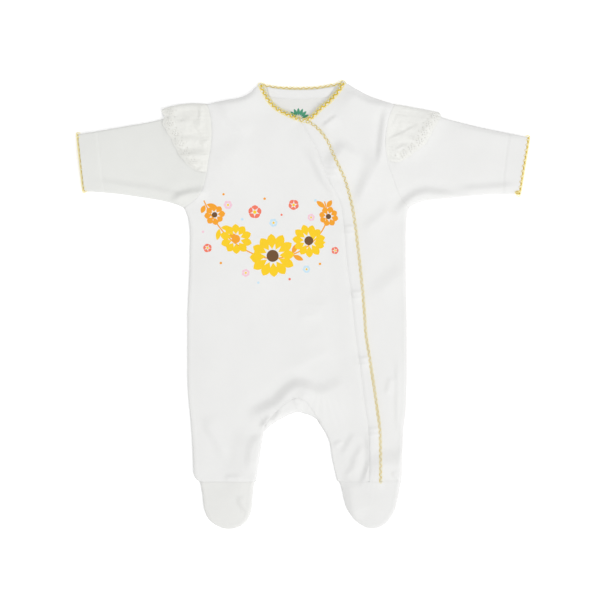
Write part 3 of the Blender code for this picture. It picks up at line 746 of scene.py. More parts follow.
def new_group(name, inputs, outputs):
    """Empty shader group with its inputs and outputs, and the sockets that give the inputs."""
    group = bpy.data.node_groups.new(name, "ShaderNodeTree")
    for label, kind in inputs:
        group.interface.new_socket(label, in_out="INPUT", socket_type=kind)
    for label, kind in outputs:
        group.interface.new_socket(label, in_out="OUTPUT", socket_type=kind)
    return group, group.nodes.new("NodeGroupInput").outputs


def knit_group():
    """Columns of knitted loops, each loop a small V."""
    group, given = new_group(
        "knit",
        (("Vector", "NodeSocketVector"), ("Wale", "NodeSocketFloat")),
        (("Height", "NodeSocketFloat"),),
    )
    place = add_node(group, "ShaderNodeSeparateXYZ", [(0, given["Vector"])]).outputs
    across = math_node(group, "DIVIDE", place["X"], given["Wale"])
    down = math_node(group, "DIVIDE", place["Y"], given["Wale"])
    in_column = math_node(group, "SUBTRACT", math_node(group, "FRACT", across), 0.5)
    column = math_node(group, "ABSOLUTE", in_column)
    course = math_node(group, "ADD", math_node(group, "MULTIPLY", down, COURSES), column)
    loop = math_node(group, "SINE", math_node(group, "MULTIPLY", course, 2.0 * math.pi))
    groove = math_node(group, "COSINE", math_node(group, "MULTIPLY", column, 2.0 * math.pi))
    height = math_node(group, "MULTIPLY_ADD", loop, LOOP_DEPTH, groove)
    add_node(group, "NodeGroupOutput", [("Height", height)])
    return group


def weave_group():
    """Plain weave: threads that pass over and under each other."""
    group, given = new_group(
        "weave",
        (("Vector", "NodeSocketVector"), ("Pitch", "NodeSocketFloat")),
        (("Height", "NodeSocketFloat"),),
    )
    place = add_node(group, "ShaderNodeSeparateXYZ", [(0, given["Vector"])]).outputs
    waves = []
    for axis in "XY":
        turns = math_node(group, "DIVIDE", place[axis], given["Pitch"])
        waves.append(math_node(group, "SINE", math_node(group, "MULTIPLY", turns, 2.0 * math.pi)))
    add_node(group, "NodeGroupOutput", [("Height", math_node(group, "MULTIPLY", *waves))])
    return group


def tone_group():
    """A colour with the faint unevenness of washed cotton."""
    group, given = new_group(
        "cotton_tone",
        (("Vector", "NodeSocketVector"), ("Color", "NodeSocketColor"), ("Patches", "NodeSocketFloat")),
        (("Color", "NodeSocketColor"), ("Fuzz", "NodeSocketFloat")),
    )
    patch = add_node(
        group, "ShaderNodeTexNoise", [("Vector", given["Vector"]), ("Scale", PATCH_SCALE), ("Detail", 3.0)]
    ).outputs["Fac"]
    fuzz = add_node(
        group, "ShaderNodeTexNoise", [("Vector", given["Vector"]), ("Scale", FUZZ_SCALE), ("Detail", 4.0)]
    ).outputs["Fac"]
    both = math_node(group, "ADD", math_node(group, "MULTIPLY", patch, PATCH_SHARE), fuzz)
    uneven = math_node(group, "SUBTRACT", both, (PATCH_SHARE + 1.0) / 2.0)
    shade = math_node(group, "MULTIPLY_ADD", uneven, given["Patches"], 1.0)
    color = add_node(
        group,
        "ShaderNodeMix",
        [(0, 1.0), (6, given["Color"]), (7, shade)],
        data_type="RGBA",
        blend_type="MULTIPLY",
    ).outputs[2]
    add_node(group, "NodeGroupOutput", [("Color", color), ("Fuzz", fuzz)])
    return group


KNIT = knit_group()
WOVEN = weave_group()
TONE = tone_group()


def cloth_material(name, colour, group, pitch, turn=0.0, bump=0.35, roughness=0.92, sheen=0.25):
    """Cotton cloth: an uneven tone, fuzz, and a bump of its loops or threads."""
    material = bpy.data.materials.new(name)
    material.use_nodes = True
    tree = material.node_tree
    shader = tree.nodes["Principled BSDF"]
    place = add_node(tree, "ShaderNodeTexCoord").outputs["Object"]
    turned = add_node(
        tree, "ShaderNodeMapping", [("Vector", place), ("Rotation", (0.0, 0.0, turn))]
    ).outputs["Vector"]
    tone = add_node(tree, "ShaderNodeGroup", node_tree=TONE)
    tree.links.new(place, tone.inputs["Vector"])
    tone.inputs["Color"].default_value = (*colour, 1.0)
    tone.inputs["Patches"].default_value = PATCHES
    loops = add_node(tree, "ShaderNodeGroup", node_tree=group)
    tree.links.new(turned, loops.inputs["Vector"])
    loops.inputs[1].default_value = pitch * MM
    height = math_node(tree, "ADD", loops.outputs["Height"], tone.outputs["Fuzz"])
    relief = add_node(
        tree, "ShaderNodeBump", [("Strength", bump), ("Distance", RELIEF * MM), ("Height", height)]
    ).outputs["Normal"]
    tree.links.new(tone.outputs["Color"], shader.inputs["Base Color"])
    tree.links.new(relief, shader.inputs["Normal"])
    shader.inputs["Roughness"].default_value = roughness
    shader.inputs["Specular IOR Level"].default_value = 0.25
    shader.inputs["Sheen Weight"].default_value = sheen
    shader.inputs["Sheen Roughness"].default_value = 0.5
    return material


# The cloths, with their loops turned as each piece was cut, and the threads, the resin and the inks
SLEEVE_TURN = math.radians(80.0)
BAND_TURN = 0.5
JERSEY = cloth_material("jersey_body", WHITE, KNIT, WALE)
# The back's jersey is darker than the body's: painted shade for the inside of the neck, which the fronts'
# neck edges shade.
JERSEY_BACK_PAINTED_SHADE = cloth_material("jersey_back_painted_shade", (0.765, 0.765, 0.75), KNIT, WALE)
JERSEY_BAND = cloth_material("jersey_band", WHITE, KNIT, WALE, BAND_TURN)
# The right sleeve's jersey is darker than the left's: painted shade on the side away from the key light.
SLEEVE_JERSEYS_LIT_AND_SHADED = {
    "right": cloth_material("jersey_sleeve_right_painted_shade", (0.755, 0.76, 0.735), KNIT, WALE, SLEEVE_TURN),
    "left": cloth_material("jersey_sleeve_left", WHITE, KNIT, WALE, -SLEEVE_TURN),
}
# Both feet are darker than the body, the right one more: painted shade, darker towards the bottom and on the
# side away from the key light.
JERSEY_FEET_PAINTED_SHADE = {
    "right": cloth_material("jersey_foot_right_painted_shade", (0.775, 0.775, 0.755), KNIT, WALE),
    "left": cloth_material("jersey_foot_left_painted_shade", (0.785, 0.785, 0.775), KNIT, WALE),
}
# The right frill's cotton is darker than the left one's: painted shade on the side away from the key light.
EYELETS_LIT_AND_SHADED = {
    "right": cloth_material("eyelet_cotton_right_painted_shade", (0.79, 0.79, 0.755), WOVEN, WEAVE),
    "left": cloth_material("eyelet_cotton_left", (0.82, 0.82, 0.79), WOVEN, WEAVE),
}
EMBROIDERY = cloth_material("eyelet_thread", (0.82, 0.81, 0.76), WOVEN, SEWING_TWIST)
STITCH = cloth_material("sewing_thread", WHITE, WOVEN, SEWING_TWIST)
PICOT = cloth_material("picot_thread", (0.70, 0.49, 0.012), WOVEN, PICOT_TWIST, roughness=0.8)
PICOT_LOOP = cloth_material("picot_loops", (0.97, 0.82, 0.17), WOVEN, PICOT_TWIST, roughness=0.8)
POPPER = cloth_material(
    "popper_resin", (0.80, 0.80, 0.80), WOVEN, RESIN_GRAIN, bump=0.05, roughness=0.35, sheen=0.0
)
INK = {name: cloth_material("print_" + name, colour, KNIT, WALE, sheen=0.1) for name, colour in INKS.items()}


# -----------------------------------------------------------------------------
# Sheets
# -----------------------------------------------------------------------------

def turned_left(loop):
    """The loop, run so that its inside is on its left."""
    x, y = loop.T
    return loop if np.sum(x * np.roll(y, -1) - y * np.roll(x, -1)) > 0.0 else loop[::-1]


def cut(outline, spacing, loops=()):
    """Flat triangles of a piece of cloth, which keep to the loops inside its outline.

    Gives the points, the triangles and, for each triangle, the number of the last loop round it, or -1.
    """
    outline = turned_left(outline)
    loops = [turned_left(loop) for loop in loops]
    edge = marked(np.vstack([outline, outline[:1]]))
    ahead = np.roll(outline, -1, axis=0) - np.roll(outline, 1, axis=0)
    inward = np.stack([-ahead[:, 1], ahead[:, 0]], axis=1) / np.hypot(*ahead.T)[:, None]
    rings = []
    for offset in RINGS:
        ring = outline + inward * offset
        rings.append(ring[distance(ring, edge) > RING_ROOM * offset])
    fixed = np.concatenate([outline, *loops, *rings])
    low, high = outline.min(0), outline.max(0)
    columns = np.arange(low[0], high[0], spacing)
    levels = np.arange(low[1], high[1], spacing * ROW_HEIGHT)
    lattice = np.stack(np.meshgrid(columns, levels), axis=-1)
    lattice[1::2, :, 0] += spacing / 2.0
    lattice = lattice.reshape(-1, 2)
    lattice = lattice[inside(lattice, outline)]
    lattice = lattice[distance(lattice, marked(fixed)) > LATTICE_ROOM * spacing]
    points = np.concatenate([fixed, lattice])
    closed = []
    start = 0
    for loop in (outline, *loops):
        closed.append(list(range(start, start + len(loop))))
        start += len(loop)
    found = delaunay_2d_cdt([Vector(p) for p in points], [], closed, 1, WELD, True)
    corners, faces, face_loops = found[0], found[2], found[5]
    kept = [(tuple(face), max(loops) - 1) for face, loops in zip(faces, face_loops) if 0 in loops]
    triangles = [face for face, loop in kept]
    last = np.array([loop for face, loop in kept])
    return np.array([tuple(corner) for corner in corners]), triangles, last


def add_object(name, data):
    """Object of the scene that shows the data, at the origin."""
    thing = bpy.data.objects.new(name, data)
    bpy.context.scene.collection.objects.link(thing)
    return thing


def make_piece(name, points, faces, materials, slots=None):
    """Smooth mesh object from points in millimetres."""
    mesh = bpy.data.meshes.new(name)
    mesh.from_pydata((np.asarray(points) * MM).tolist(), [], faces)
    for material in materials:
        mesh.materials.append(material)
    if slots is not None:
        mesh.polygons.foreach_set("material_index", slots)
    mesh.shade_smooth()
    mesh.update()
    return add_object(name, mesh)


def dress(piece, node=None):
    """The piece goes with the suit's body, and takes the place of a solid of the frame where it has one."""
    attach(piece, BODY)
    if node:
        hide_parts(node)


def finish_sheet(piece, wall, material_offset=0):
    """Gives a sheet its wall inward."""
    solid = piece.modifiers.new("wall", "SOLIDIFY")
    solid.thickness = wall * MM
    solid.offset = -1.0
    solid.material_offset = material_offset


def panel(
    node,
    outline,
    material=JERSEY,
    spacing=FINE,
    surface=upper,
    wall=JERSEY_WALL,
    prints=(),
):
    """A panel of cloth. One of the underside has its outer face below, and its print is on its inner face."""
    points, triangles, last = cut(outline, spacing, [loop for ink, loop in prints])
    inks = list(dict.fromkeys(ink for ink, loop in prints))
    number = {ink: i for i, ink in enumerate(inks, 1)}
    slots = np.array([0] + [number[ink] for ink, loop in prints])[last + 1]
    materials = [material] + [INK[ink] for ink in inks]
    offset = -len(inks)
    if surface is lower:
        triangles = [face[::-1] for face in triangles]
        materials = [material] * len(inks) + materials
        offset = len(inks)
    solid = np.column_stack([points, surface(points)])
    piece = make_piece(node + "_cloth", solid, triangles, materials, slots)
    dress(piece, node)
    finish_sheet(piece, wall, offset)


def tube(node, outline, material):
    """A flattened tube of cloth: two layers that share their folded edges. Its cut goes all round."""
    points, triangles, last = cut(outline, FINE)
    folded = distance(points, FOLDED) < ON_THE_FOLD
    top = np.column_stack([points, upper(points)])
    bottom = np.column_stack([points[~folded], lower(points[~folded])])
    under = np.arange(len(points))
    under[~folded] = len(points) + np.arange(len(bottom))
    faces = list(triangles)
    for face in triangles:
        if not folded[list(face)].all():
            faces.append(tuple(int(under[i]) for i in face[::-1]))
    piece = make_piece(node + "_cloth", np.vstack([top, bottom]), faces, [material])
    dress(piece, node)
    finish_sheet(piece, JERSEY_WALL)


# -----------------------------------------------------------------------------
# Threads: stitches, picot edgings and the embroidery of the eyelets
# -----------------------------------------------------------------------------

THREAD_SIDES = 5

# Stitches, the finer thread of the neck tape's, and how far the rows are from their seams and edges
STITCH_PITCH = 2.7
STITCH_LENGTH = 2.2
STITCH_THREAD = 0.17
TAPE_THREAD = 0.13
BAND_STITCHES = 1.3
GUSSET_STITCHES = 1.2
ANKLE_STITCHES = 1.4
TAPE_STITCHES = 1.1

# How high the middles of the stitches lie above the cloth
HEM_STITCH_LIFT = 0.1
STITCH_LIFT = 0.08
TAPE_STITCH_LIFT = 0.05

# Picots: their pitch and half their width as a share of it, how far they reach beyond the edge and on the
# cloth, and their thread
PICOT_PITCH = 3.7
PICOT_SPAN = 0.46
PICOT_REACH = 2.1
PICOT_LEG = 1.8
PICOT_THREAD = 0.18

# Twist of two strands: their offset from its middle, the steps of its points, its turns, and how it sways
STRAND_OFFSET = 0.17
STRAND_STEP = 0.42
LEAST_STRAND_POINTS = 8
TWIST_PITCH = 1.9
SWAY = 0.7
SWAY_PITCH = 6.1

# Thickness of the strands, and the sway where it is its own
PLACKET_STRAND = 0.17
PLACKET_SWAY = 1.6
PLACKET_SWAY_PITCH = 6.8
NECK_STRAND = {"right": 0.5, "left": 0.58}
BACK_STRAND = 0.26
CUFF_STRAND = {"right": 0.17, "left": 0.33}
CUFF_SWAY = {"right": 0.8, "left": 1.1}

# Where the edging turns over at the lower end of each cuff
CUFF_HOOKS = {
    "right": ((-244.6, 127.5), (-244.0, 128.3)),
    "left": ((241.0, 124.6), (238.4, 127.2)),
}

# How full the edging is, beside picots of the size above
PLACKET_FULLNESS = 0.85
NECK_FULLNESS = 1.45
BACK_FULLNESS = 0.95
CUFF_FULLNESS = {"right": 1.1, "left": 1.2}

# Edging of the front: inside the edge at the neck and the chest, and beyond it down the placket
NECK_INSET = 1.1
PLACKET_OVERHANG = 0.4
INSET_END = 157.0
INSET_FADE = 17.0
NECK_END = 203.0
NECK_FADE = 6.0
EDGING_LIFT = 0.3

# Edgings of the left and back of the neck, inside their edges, and heights of the cuffs' edgings
LEFT_NECK_INSET = 1.4
BACK_NECK_INSET = 0.4
BACK_EDGING_LIFT = 0.4
CUFF_SINK = -0.3
CUFF_HOOK_LIFT = 0.2
CUFF_UNDER_LIFT = 1.2


def new_tree(name, *sizes):
    """Tree of nodes with named sizes and a material, the sockets that give them, and the curve it follows."""
    tree = bpy.data.node_groups.new(name, "GeometryNodeTree")
    tree.interface.new_socket("Geometry", in_out="INPUT", socket_type="NodeSocketGeometry")
    for label in sizes:
        tree.interface.new_socket(label, in_out="INPUT", socket_type="NodeSocketFloat")
    tree.interface.new_socket("Material", in_out="INPUT", socket_type="NodeSocketMaterial")
    tree.interface.new_socket("Geometry", in_out="OUTPUT", socket_type="NodeSocketGeometry")
    given = tree.nodes.new("NodeGroupInput").outputs
    line = add_node(tree, "GeometryNodeMeshToCurve", [("Mesh", given["Geometry"])]).outputs["Curve"]
    return tree, given, line


def finish_tree(tree, given, geometry):
    """Ends a tree with real geometry in its material."""
    real = add_node(tree, "GeometryNodeRealizeInstances", [("Geometry", geometry)]).outputs["Geometry"]
    finished = add_node(
        tree, "GeometryNodeSetMaterial", [("Geometry", real), ("Material", given["Material"])]
    ).outputs["Geometry"]
    add_node(tree, "NodeGroupOutput", [(0, finished)])
    return tree


def sized(tree, geometry, x, y, z):
    """Geometry scaled along its axes."""
    size = add_node(tree, "ShaderNodeCombineXYZ", [("X", x), ("Y", y), ("Z", z)]).outputs["Vector"]
    return add_node(
        tree, "GeometryNodeTransform", [("Geometry", geometry), ("Scale", size)]
    ).outputs["Geometry"]


def cord_along(tree, line, thickness):
    """Round thread along a curve."""
    profile = add_node(
        tree, "GeometryNodeCurvePrimitiveCircle", [("Resolution", THREAD_SIDES), ("Radius", thickness)]
    ).outputs["Curve"]
    return add_node(
        tree, "GeometryNodeCurveToMesh", [("Curve", line), ("Profile Curve", profile), ("Fill Caps", True)]
    ).outputs["Mesh"]


def row_along(tree, line, pitch, unit, beside_axis, beside_way, size):
    """Copies of a unit at each pitch of a line. Their X runs with it, and another axis points a given way."""
    spots = add_node(
        tree, "GeometryNodeResampleCurve", [("Curve", line), ("Length", pitch)], mode="LENGTH"
    ).outputs["Curve"]
    tangent = add_node(tree, "GeometryNodeInputTangent").outputs["Tangent"]
    turn = add_node(
        tree,
        "FunctionNodeAxesToRotation",
        [("Primary Axis", tangent), ("Secondary Axis", beside_way)],
        primary_axis="X",
        secondary_axis=beside_axis,
    ).outputs["Rotation"]
    return add_node(
        tree,
        "GeometryNodeInstanceOnPoints",
        [("Points", spots), ("Instance", unit), ("Rotation", turn), ("Scale", size)],
    ).outputs["Instances"]


def stitch_tree():
    """Row of stitches along lines."""
    tree, given, line = new_tree("stitch_row", "Pitch", "Stitch", "Thread")
    ball = add_node(
        tree, "GeometryNodeMeshUVSphere", [("Segments", 6), ("Rings", 4), ("Radius", 1.0)]
    ).outputs["Mesh"]
    half = math_node(tree, "MULTIPLY", given["Stitch"], 0.5)
    stitch = sized(tree, ball, half, given["Thread"], given["Thread"])
    row = row_along(tree, line, given["Pitch"], stitch, "Z", (0.0, 0.0, 1.0), (1.0, 1.0, 1.0))
    return finish_tree(tree, given, row)


def thread_tree():
    """Thread along closed or open lines."""
    tree, given, line = new_tree("thread", "Thread")
    return finish_tree(tree, given, cord_along(tree, line, given["Thread"]))


def picot_tree():
    """Row of picots: a small loop of thread beyond the edge and one on the cloth, for each pitch.

    The attribute "outward" points away from the cloth, and its length is the fullness of the picots.
    """
    tree, given, line = new_tree("picot_row", "Pitch", "Picot", "Leg", "Thread")
    outward = add_node(
        tree, "GeometryNodeInputNamedAttribute", [("Name", "outward")], data_type="FLOAT_VECTOR"
    ).outputs["Attribute"]
    fullness = add_node(tree, "ShaderNodeVectorMath", [(0, outward)], operation="LENGTH").outputs["Value"]
    bow = add_node(
        tree, "GeometryNodeCurveArc", [("Resolution", 7), ("Radius", 1.0), ("Sweep Angle", math.pi)]
    ).outputs["Curve"]
    half = math_node(tree, "MULTIPLY", given["Pitch"], PICOT_SPAN)
    picot = add_node(tree, "GeometryNodeJoinGeometry")
    for reach in (given["Picot"], math_node(tree, "MULTIPLY", given["Leg"], -1.0)):
        loop = sized(tree, bow, half, reach, 1.0)
        tree.links.new(cord_along(tree, loop, given["Thread"]), picot.inputs[0])
    row = row_along(tree, line, given["Pitch"], picot.outputs[0], "Y", outward, fullness)
    return finish_tree(tree, given, row)


STITCHES = stitch_tree()
THREAD = thread_tree()
PICOTS = picot_tree()


def grow(name, tree, lines, slot, node=None, closed=False, outward=None, **inputs):
    """Plain mesh piece that a tree of nodes grows along lines of points. Its inputs are in millimetres."""
    points = np.concatenate(lines)
    runs = []
    start = 0
    for line in lines:
        runs += [(start + i, start + i + 1) for i in range(len(line) - 1)]
        if closed:
            runs.append((start + len(line) - 1, start))
        start += len(line)
    mesh = bpy.data.meshes.new(name + "_path")
    mesh.from_pydata((points * MM).tolist(), runs, [])
    if outward is not None:
        attribute = mesh.attributes.new("outward", "FLOAT_VECTOR", "POINT")
        attribute.data.foreach_set("vector", np.concatenate(outward).ravel())
    path = add_object(name + "_path", mesh)
    modifier = path.modifiers.new(tree.name, "NODES")
    modifier.node_group = tree
    for item in tree.interface.items_tree:
        if item.in_out == "INPUT" and item.name in inputs:
            value = inputs[item.name]
            modifier[item.identifier] = value * MM if isinstance(value, float) else value
    view = bpy.context.evaluated_depsgraph_get()
    grown = bpy.data.meshes.new_from_object(path.evaluated_get(view))
    bpy.data.objects.remove(path)
    # the line gives its empty slot to the mesh
    while grown.materials and grown.materials[0] is None:
        grown.materials.pop(index=0)
    grown.name = name
    grown.shade_smooth()
    dress(add_object(name, grown), node)


def lay(path, surface, lift=0.0):
    """Line of points that lies on a surface."""
    return np.column_stack([path, surface(path) + lift])


def sew(name, lines, thread=STITCH_THREAD):
    """Rows of stitches in the cloth."""
    sizes = {"Pitch": STITCH_PITCH, "Stitch": STITCH_LENGTH, "Thread": thread}
    grow(name, STITCHES, lines, "jersey", Material=STITCH, **sizes)


def strands(line, outward, sway, pitch):
    """Two threads twisted round each other, which sway together from side to side along a line."""
    lengths = lengths_along(line)
    length = lengths[-1]
    steps = np.linspace(0.0, length, max(LEAST_STRAND_POINTS, round(length / STRAND_STEP)))
    share = (steps / length)[:, None]
    away = between(outward, lengths, steps)
    sways = max(1, round(length / pitch))
    middle = between(line, lengths, steps) + away * sway * np.sin(2.0 * math.pi * sways * share)
    half_turns = 2 * max(1, round(length / TWIST_PITCH / 2.0))
    turn = math.pi * half_turns * share
    up = np.array([0.0, 0.0, 1.0])
    offset = STRAND_OFFSET * (away * np.cos(turn) + up * np.sin(turn))
    return [middle + offset, middle - offset]


def twist_along(name, line, outward, strand, sway=SWAY, pitch=SWAY_PITCH):
    """Swaying twist of dark thread along a line."""
    grow(name, THREAD, strands(line, outward, sway, pitch), "picot", Thread=strand, Material=PICOT)


def edge_with_picots(node, line, outward):
    """Row of light picots to both sides of a line along an edge of the cloth."""
    sizes = {"Pitch": PICOT_PITCH, "Picot": PICOT_REACH, "Leg": PICOT_LEG, "Thread": PICOT_THREAD}
    grow(node + "_picots", PICOTS, [line], "picot", node, outward=[outward], Material=PICOT_LOOP, **sizes)


def edge_front():
    """Edging from the right shoulder along the neck and down the placket, whose twist sways more."""
    neck = NECKS["right"][2:-1]
    edge = np.concatenate([neck, EDGE])
    down = ease((INSET_END - edge[:, 1:]) / INSET_FADE)
    edge = beside(edge, (NECK_INSET + PLACKET_OVERHANG) * down - NECK_INSET)
    line = lay(edge, over_placket, EDGING_LIFT)
    near_neck = ease((line[:, 1:2] - NECK_END) / NECK_FADE)
    away = leftward(line) * (PLACKET_FULLNESS + (NECK_FULLNESS - PLACKET_FULLNESS) * near_neck)
    edge_with_picots("front_trim", line, away)
    turn = len(neck)
    twist_along("front_neck_twist", line[:turn], away[:turn], NECK_STRAND["right"])
    line, away = line[turn - 1 :], away[turn - 1 :]
    twist_along("front_placket_twist", line, away, PLACKET_STRAND, PLACKET_SWAY, PLACKET_SWAY_PITCH)


def edge_neck(node, twist, line, fullness, strand):
    """Edging of one fullness along a stretch of the neck."""
    away = leftward(line) * fullness
    edge_with_picots(node, line, away)
    twist_along(twist, line, away, strand)


def round_cuff(side):
    """Line over a cuff's end, through the hook at its lower corner, and back under it."""
    cuff = curve((SLEEVE_TOPS[side][-1], SLEEVE_UNDERS[side][-1]))
    hook = curve(CUFF_HOOKS[side])
    return np.concatenate(
        [
            lay(cuff, upper, CUFF_SINK),
            lay(hook, upper, CUFF_HOOK_LIFT),
            lay(hook[::-1], upper, CUFF_SINK),
            lay(cuff[-2:0:-1], lower, CUFF_UNDER_LIFT),
            lay(cuff[:1], upper, CUFF_SINK),
        ]
    )


def edge_cuff(side):
    """Edging round a cuff."""
    line = round_cuff(side)
    away = np.tile([OUTWARD[side] * CUFF_FULLNESS[side], 0.0, 0.0], (len(line), 1))
    edge_with_picots("cuff_trim_" + side, line, away)
    twist_along("cuff_twist_" + side, line, away, CUFF_STRAND[side], CUFF_SWAY[side])


# -----------------------------------------------------------------------------
# The print: a garland of daisies on the chest, and a sprig inside the neck
# -----------------------------------------------------------------------------

# Flowers by place, radius, number of petals, inks of the petals and the heart, and how far they are turned
Daisy = namedtuple("Daisy", "x y radius petals petal heart turn")
DAISIES = (
    Daisy(-34.0, 55.0, 25.0, 12, "yellow", "brown", 4.0),
    Daisy(-75.0, 74.0, 17.5, 10, "yellow", "orange", 20.0),
    Daisy(6.5, 72.0, 18.5, 11, "yellow", "brown", 11.0),
    Daisy(-99.0, 101.0, 11.5, 8, "orange", "brown", 7.0),
    Daisy(28.5, 99.0, 11.0, 8, "orange", "brown", 30.0),
    Daisy(-54.0, 104.0, 7.5, 5, "coral", "yellow", 15.0),
    Daisy(-10.5, 112.0, 6.0, 5, "coral", "yellow", 50.0),
    Daisy(-107.0, 64.0, 5.0, 5, "coral", "yellow", 30.0),
    Daisy(36.0, 61.0, 4.2, 5, "coral", "yellow", 3.0),
    Daisy(-84.0, 112.0, 5.0, 6, "pink", "yellow", 0.0),
    Daisy(-33.0, 92.0, 4.8, 6, "blue", "yellow", 10.0),
    Daisy(-64.0, 36.0, 4.6, 6, "pink", "yellow", 25.0),
    Daisy(4.0, 40.0, 4.4, 6, "blue", "yellow", 5.0),
    Daisy(9.0, 98.0, 4.2, 6, "pink", "yellow", 15.0),
)

# Petals: their width beside their share of the round, and where they start as a share of the radius
PETAL_WIDTH = 1.55
PETAL_FOOT = 0.30
PETAL_FULLEST = 1.35
PETAL_UNEVEN = 0.05
HEART_SIZE = 0.27

# Stem with a pair of leaves at shares of its length, which vary a little in their angle and their length
STEM = (
    (-111.0, 117.0), (-101.0, 98.0), (-77.0, 70.0), (-34.0, 52.0), (8.0, 68.0), (26.0, 94.0), (24.0, 116.0),
)
STEM_WIDTH = 1.5
STEM_STEP = 2.0
STEM_INKS = ("orange", "yellow")
LEAF_SPOTS = (0.02, 0.17, 0.23, 0.40, 0.62, 0.76, 0.96)
LEAF_STRETCH = 0.02
LEAF_LENGTH = 13.0
LEAF_WIDTH = 5.6
LEAF_ANGLE = 48.0
LEAF_SWING = 6.0
LEAF_UNEVEN = 0.15
LEAF_POINTS = 9
LEAF_TAPER = 0.8

# Dots by place, radius and ink, and points of their outline for each millimetre of radius
Dot = namedtuple("Dot", "x y radius ink")
DOTS = (
    Dot(-92.0, 47.0, 1.5, "orange"),
    Dot(-68.0, 96.0, 1.6, "blue"),
    Dot(-43.0, 119.0, 1.5, "orange"),
    Dot(-24.0, 101.0, 1.3, "coral"),
    Dot(14.0, 117.0, 1.6, "blue"),
    Dot(19.0, 46.0, 1.5, "orange"),
    Dot(-15.0, 29.0, 1.5, "coral"),
    Dot(-50.0, 25.0, 1.4, "blue"),
    Dot(-112.0, 82.0, 1.4, "pink"),
    Dot(-89.0, 124.0, 1.4, "orange"),
)
DISC_POINTS = 5.0
LEAST_DISC_POINTS = 8

# Sprig: a fan of leaves round its foot, by their angles, and where each starts and ends
SPRIG_FOOT = (-5.0, 208.5)
SPRIG_LEAVES = (22.0, 45.0, 68.0, 91.0, 114.0, 137.0, 160.0)
SPRIG_REACH = (4.0, 12.5)
SPRIG_LEAF_WIDTH = 3.3


def leaf(foot, way, start, end, width, fullest=1.0):
    """Outline of a leaf or petal beside a foot; fullest above 1 moves its widest place toward the tip."""
    foot = np.array(foot)
    base = foot + way * start
    run = foot + way * end - base
    across = np.array([-run[1], run[0]]) / math.hypot(*run)
    t = np.linspace(0.0, 1.0, LEAF_POINTS)[:, None]
    bulge = across * (width / 2.0) * np.sin(math.pi * t**fullest) ** LEAF_TAPER
    return joined(base + run * t + bulge, (base + run * t - bulge)[::-1])


def circle(count):
    """Directions evenly all round."""
    turns = np.linspace(0.0, 2.0 * math.pi, count, endpoint=False)
    return np.stack([np.cos(turns), np.sin(turns)], axis=1)


def disc(x, y, radius):
    """Outline of a dot."""
    return np.array([x, y]) + radius * circle(max(LEAST_DISC_POINTS, round(DISC_POINTS * radius)))


def daisy(flower):
    """Petals round a heart."""
    width = PETAL_WIDTH * math.pi * flower.radius / flower.petals
    start = flower.radius * PETAL_FOOT
    loops = []
    for i in range(flower.petals):
        way = toward(flower.turn + 360.0 * i / flower.petals)
        end = flower.radius * (1.0 + PETAL_UNEVEN * math.sin(5.0 * i + flower.x))
        petal = leaf((flower.x, flower.y), way, start, end, width, PETAL_FULLEST)
        loops.append((flower.petal, petal))
    loops.append((flower.heart, disc(flower.x, flower.y, flower.radius * HEART_SIZE)))
    return loops


def stalk():
    """Stem of the garland, with its leaves in two inks."""
    path = curve(STEM, STEM_STEP)
    loops = [(STEM_INKS[0], joined(beside(path, STEM_WIDTH / 2.0), beside(path, -STEM_WIDTH / 2.0)[::-1]))]
    for number, spot in enumerate(LEAF_SPOTS):
        stretch = np.clip([spot - LEAF_STRETCH, spot, spot + LEAF_STRETCH], 0.0, 1.0)
        before, foot, after = at(path, stretch)
        heading = math.degrees(math.atan2(*(after - before)[::-1]))
        for sign in (-1.0, 1.0):
            way = toward(heading + sign * (LEAF_ANGLE + LEAF_SWING * math.sin(3.0 * number)))
            end = LEAF_LENGTH * (1.0 + LEAF_UNEVEN * math.sin(2.0 * number + sign))
            loops.append((STEM_INKS[number % 2], leaf(foot, way, STEM_WIDTH, end, LEAF_WIDTH)))
    return loops


def sprig():
    """Loops of the fan of leaves inside the neck, each with its ink."""
    fan = [leaf(SPRIG_FOOT, toward(turn), *SPRIG_REACH, SPRIG_LEAF_WIDTH) for turn in SPRIG_LEAVES]
    return [("green", loop) for loop in fan]


def garland():
    """Loops of the chest print, each with its ink. Later ones lie over earlier ones."""
    loops = stalk()
    for flower in DAISIES:
        loops += daisy(flower)
    loops += [(dot.ink, disc(dot.x, dot.y, dot.radius)) for dot in DOTS]
    return loops


# -----------------------------------------------------------------------------
# Frills
# -----------------------------------------------------------------------------

# Flat pattern of a frill, its wall, and its cut: the free edge with its ripples, and the depth
FRILL_SCALE = np.array([80.0, 44.0])
FRILL_SPACING = 1.2
FRILL_ROWS = 100
FRILL_END_ROWS = 36
FRILL_LEAST_DEPTH = 6.0
FRILL_STEP = 1.0
RUN_STEP = 0.01
FRILL_WALL = 0.4

# How it lies: its clearance from the sleeve, the drop of its free edge, and its top edge, which bulges and
# rolls down to the floor. A rise is the share of the depth over which something starts at the sewn edge.
FRILL_CLEARANCE = 0.75
FRILL_RISE = 0.3
FRILL_TOUCH = 0.45
TOUCH_RISE = 0.08
FRILL_DROP = 0.55
DROP_FROM = 0.78
FRILL_EDGE = 0.75
FRILL_TURN = (2.6, 4.6)
TURN_RISE = 0.45
FRILL_BULGE = {"right": 2.8, "left": 0.2}
BULGE_RUN = 0.2

# Broad gathers, short ones at the sewn edge, and lumps by size and height. The waves that make them uneven
# are each a strength, radians along the frill, and a start.
GATHERS = 5
GATHER_HEIGHT = 0.9
GATHER_RISE = 0.6
GATHER_SLANT = 0.5
GATHER_WANDER = (0.30, 5.3, 0.8)
GATHER_RESTLESS = (0.22, 13.0, 0.0)
SEAM_GATHERS = 23
SEAM_GATHER_SLANT = 5.0
SEAM_GATHER_WANDER = (0.012, 21.0, 0.0)
SEAM_GATHER_STRENGTH = (0.3, 31.0, 2.0)
SEAM_GATHER_HEIGHT = 0.4
SEAM_GATHER_RISE = 0.06
SEAM_GATHER_FADE = 0.22
FRILL_LUMPS = ((13.0, 0.9), (6.0, 0.42), (3.2, 0.22))
LUMPS_APART = 4.1
LUMP_LIFT = 0.25
FRILL_FOLD_RISE = 0.12

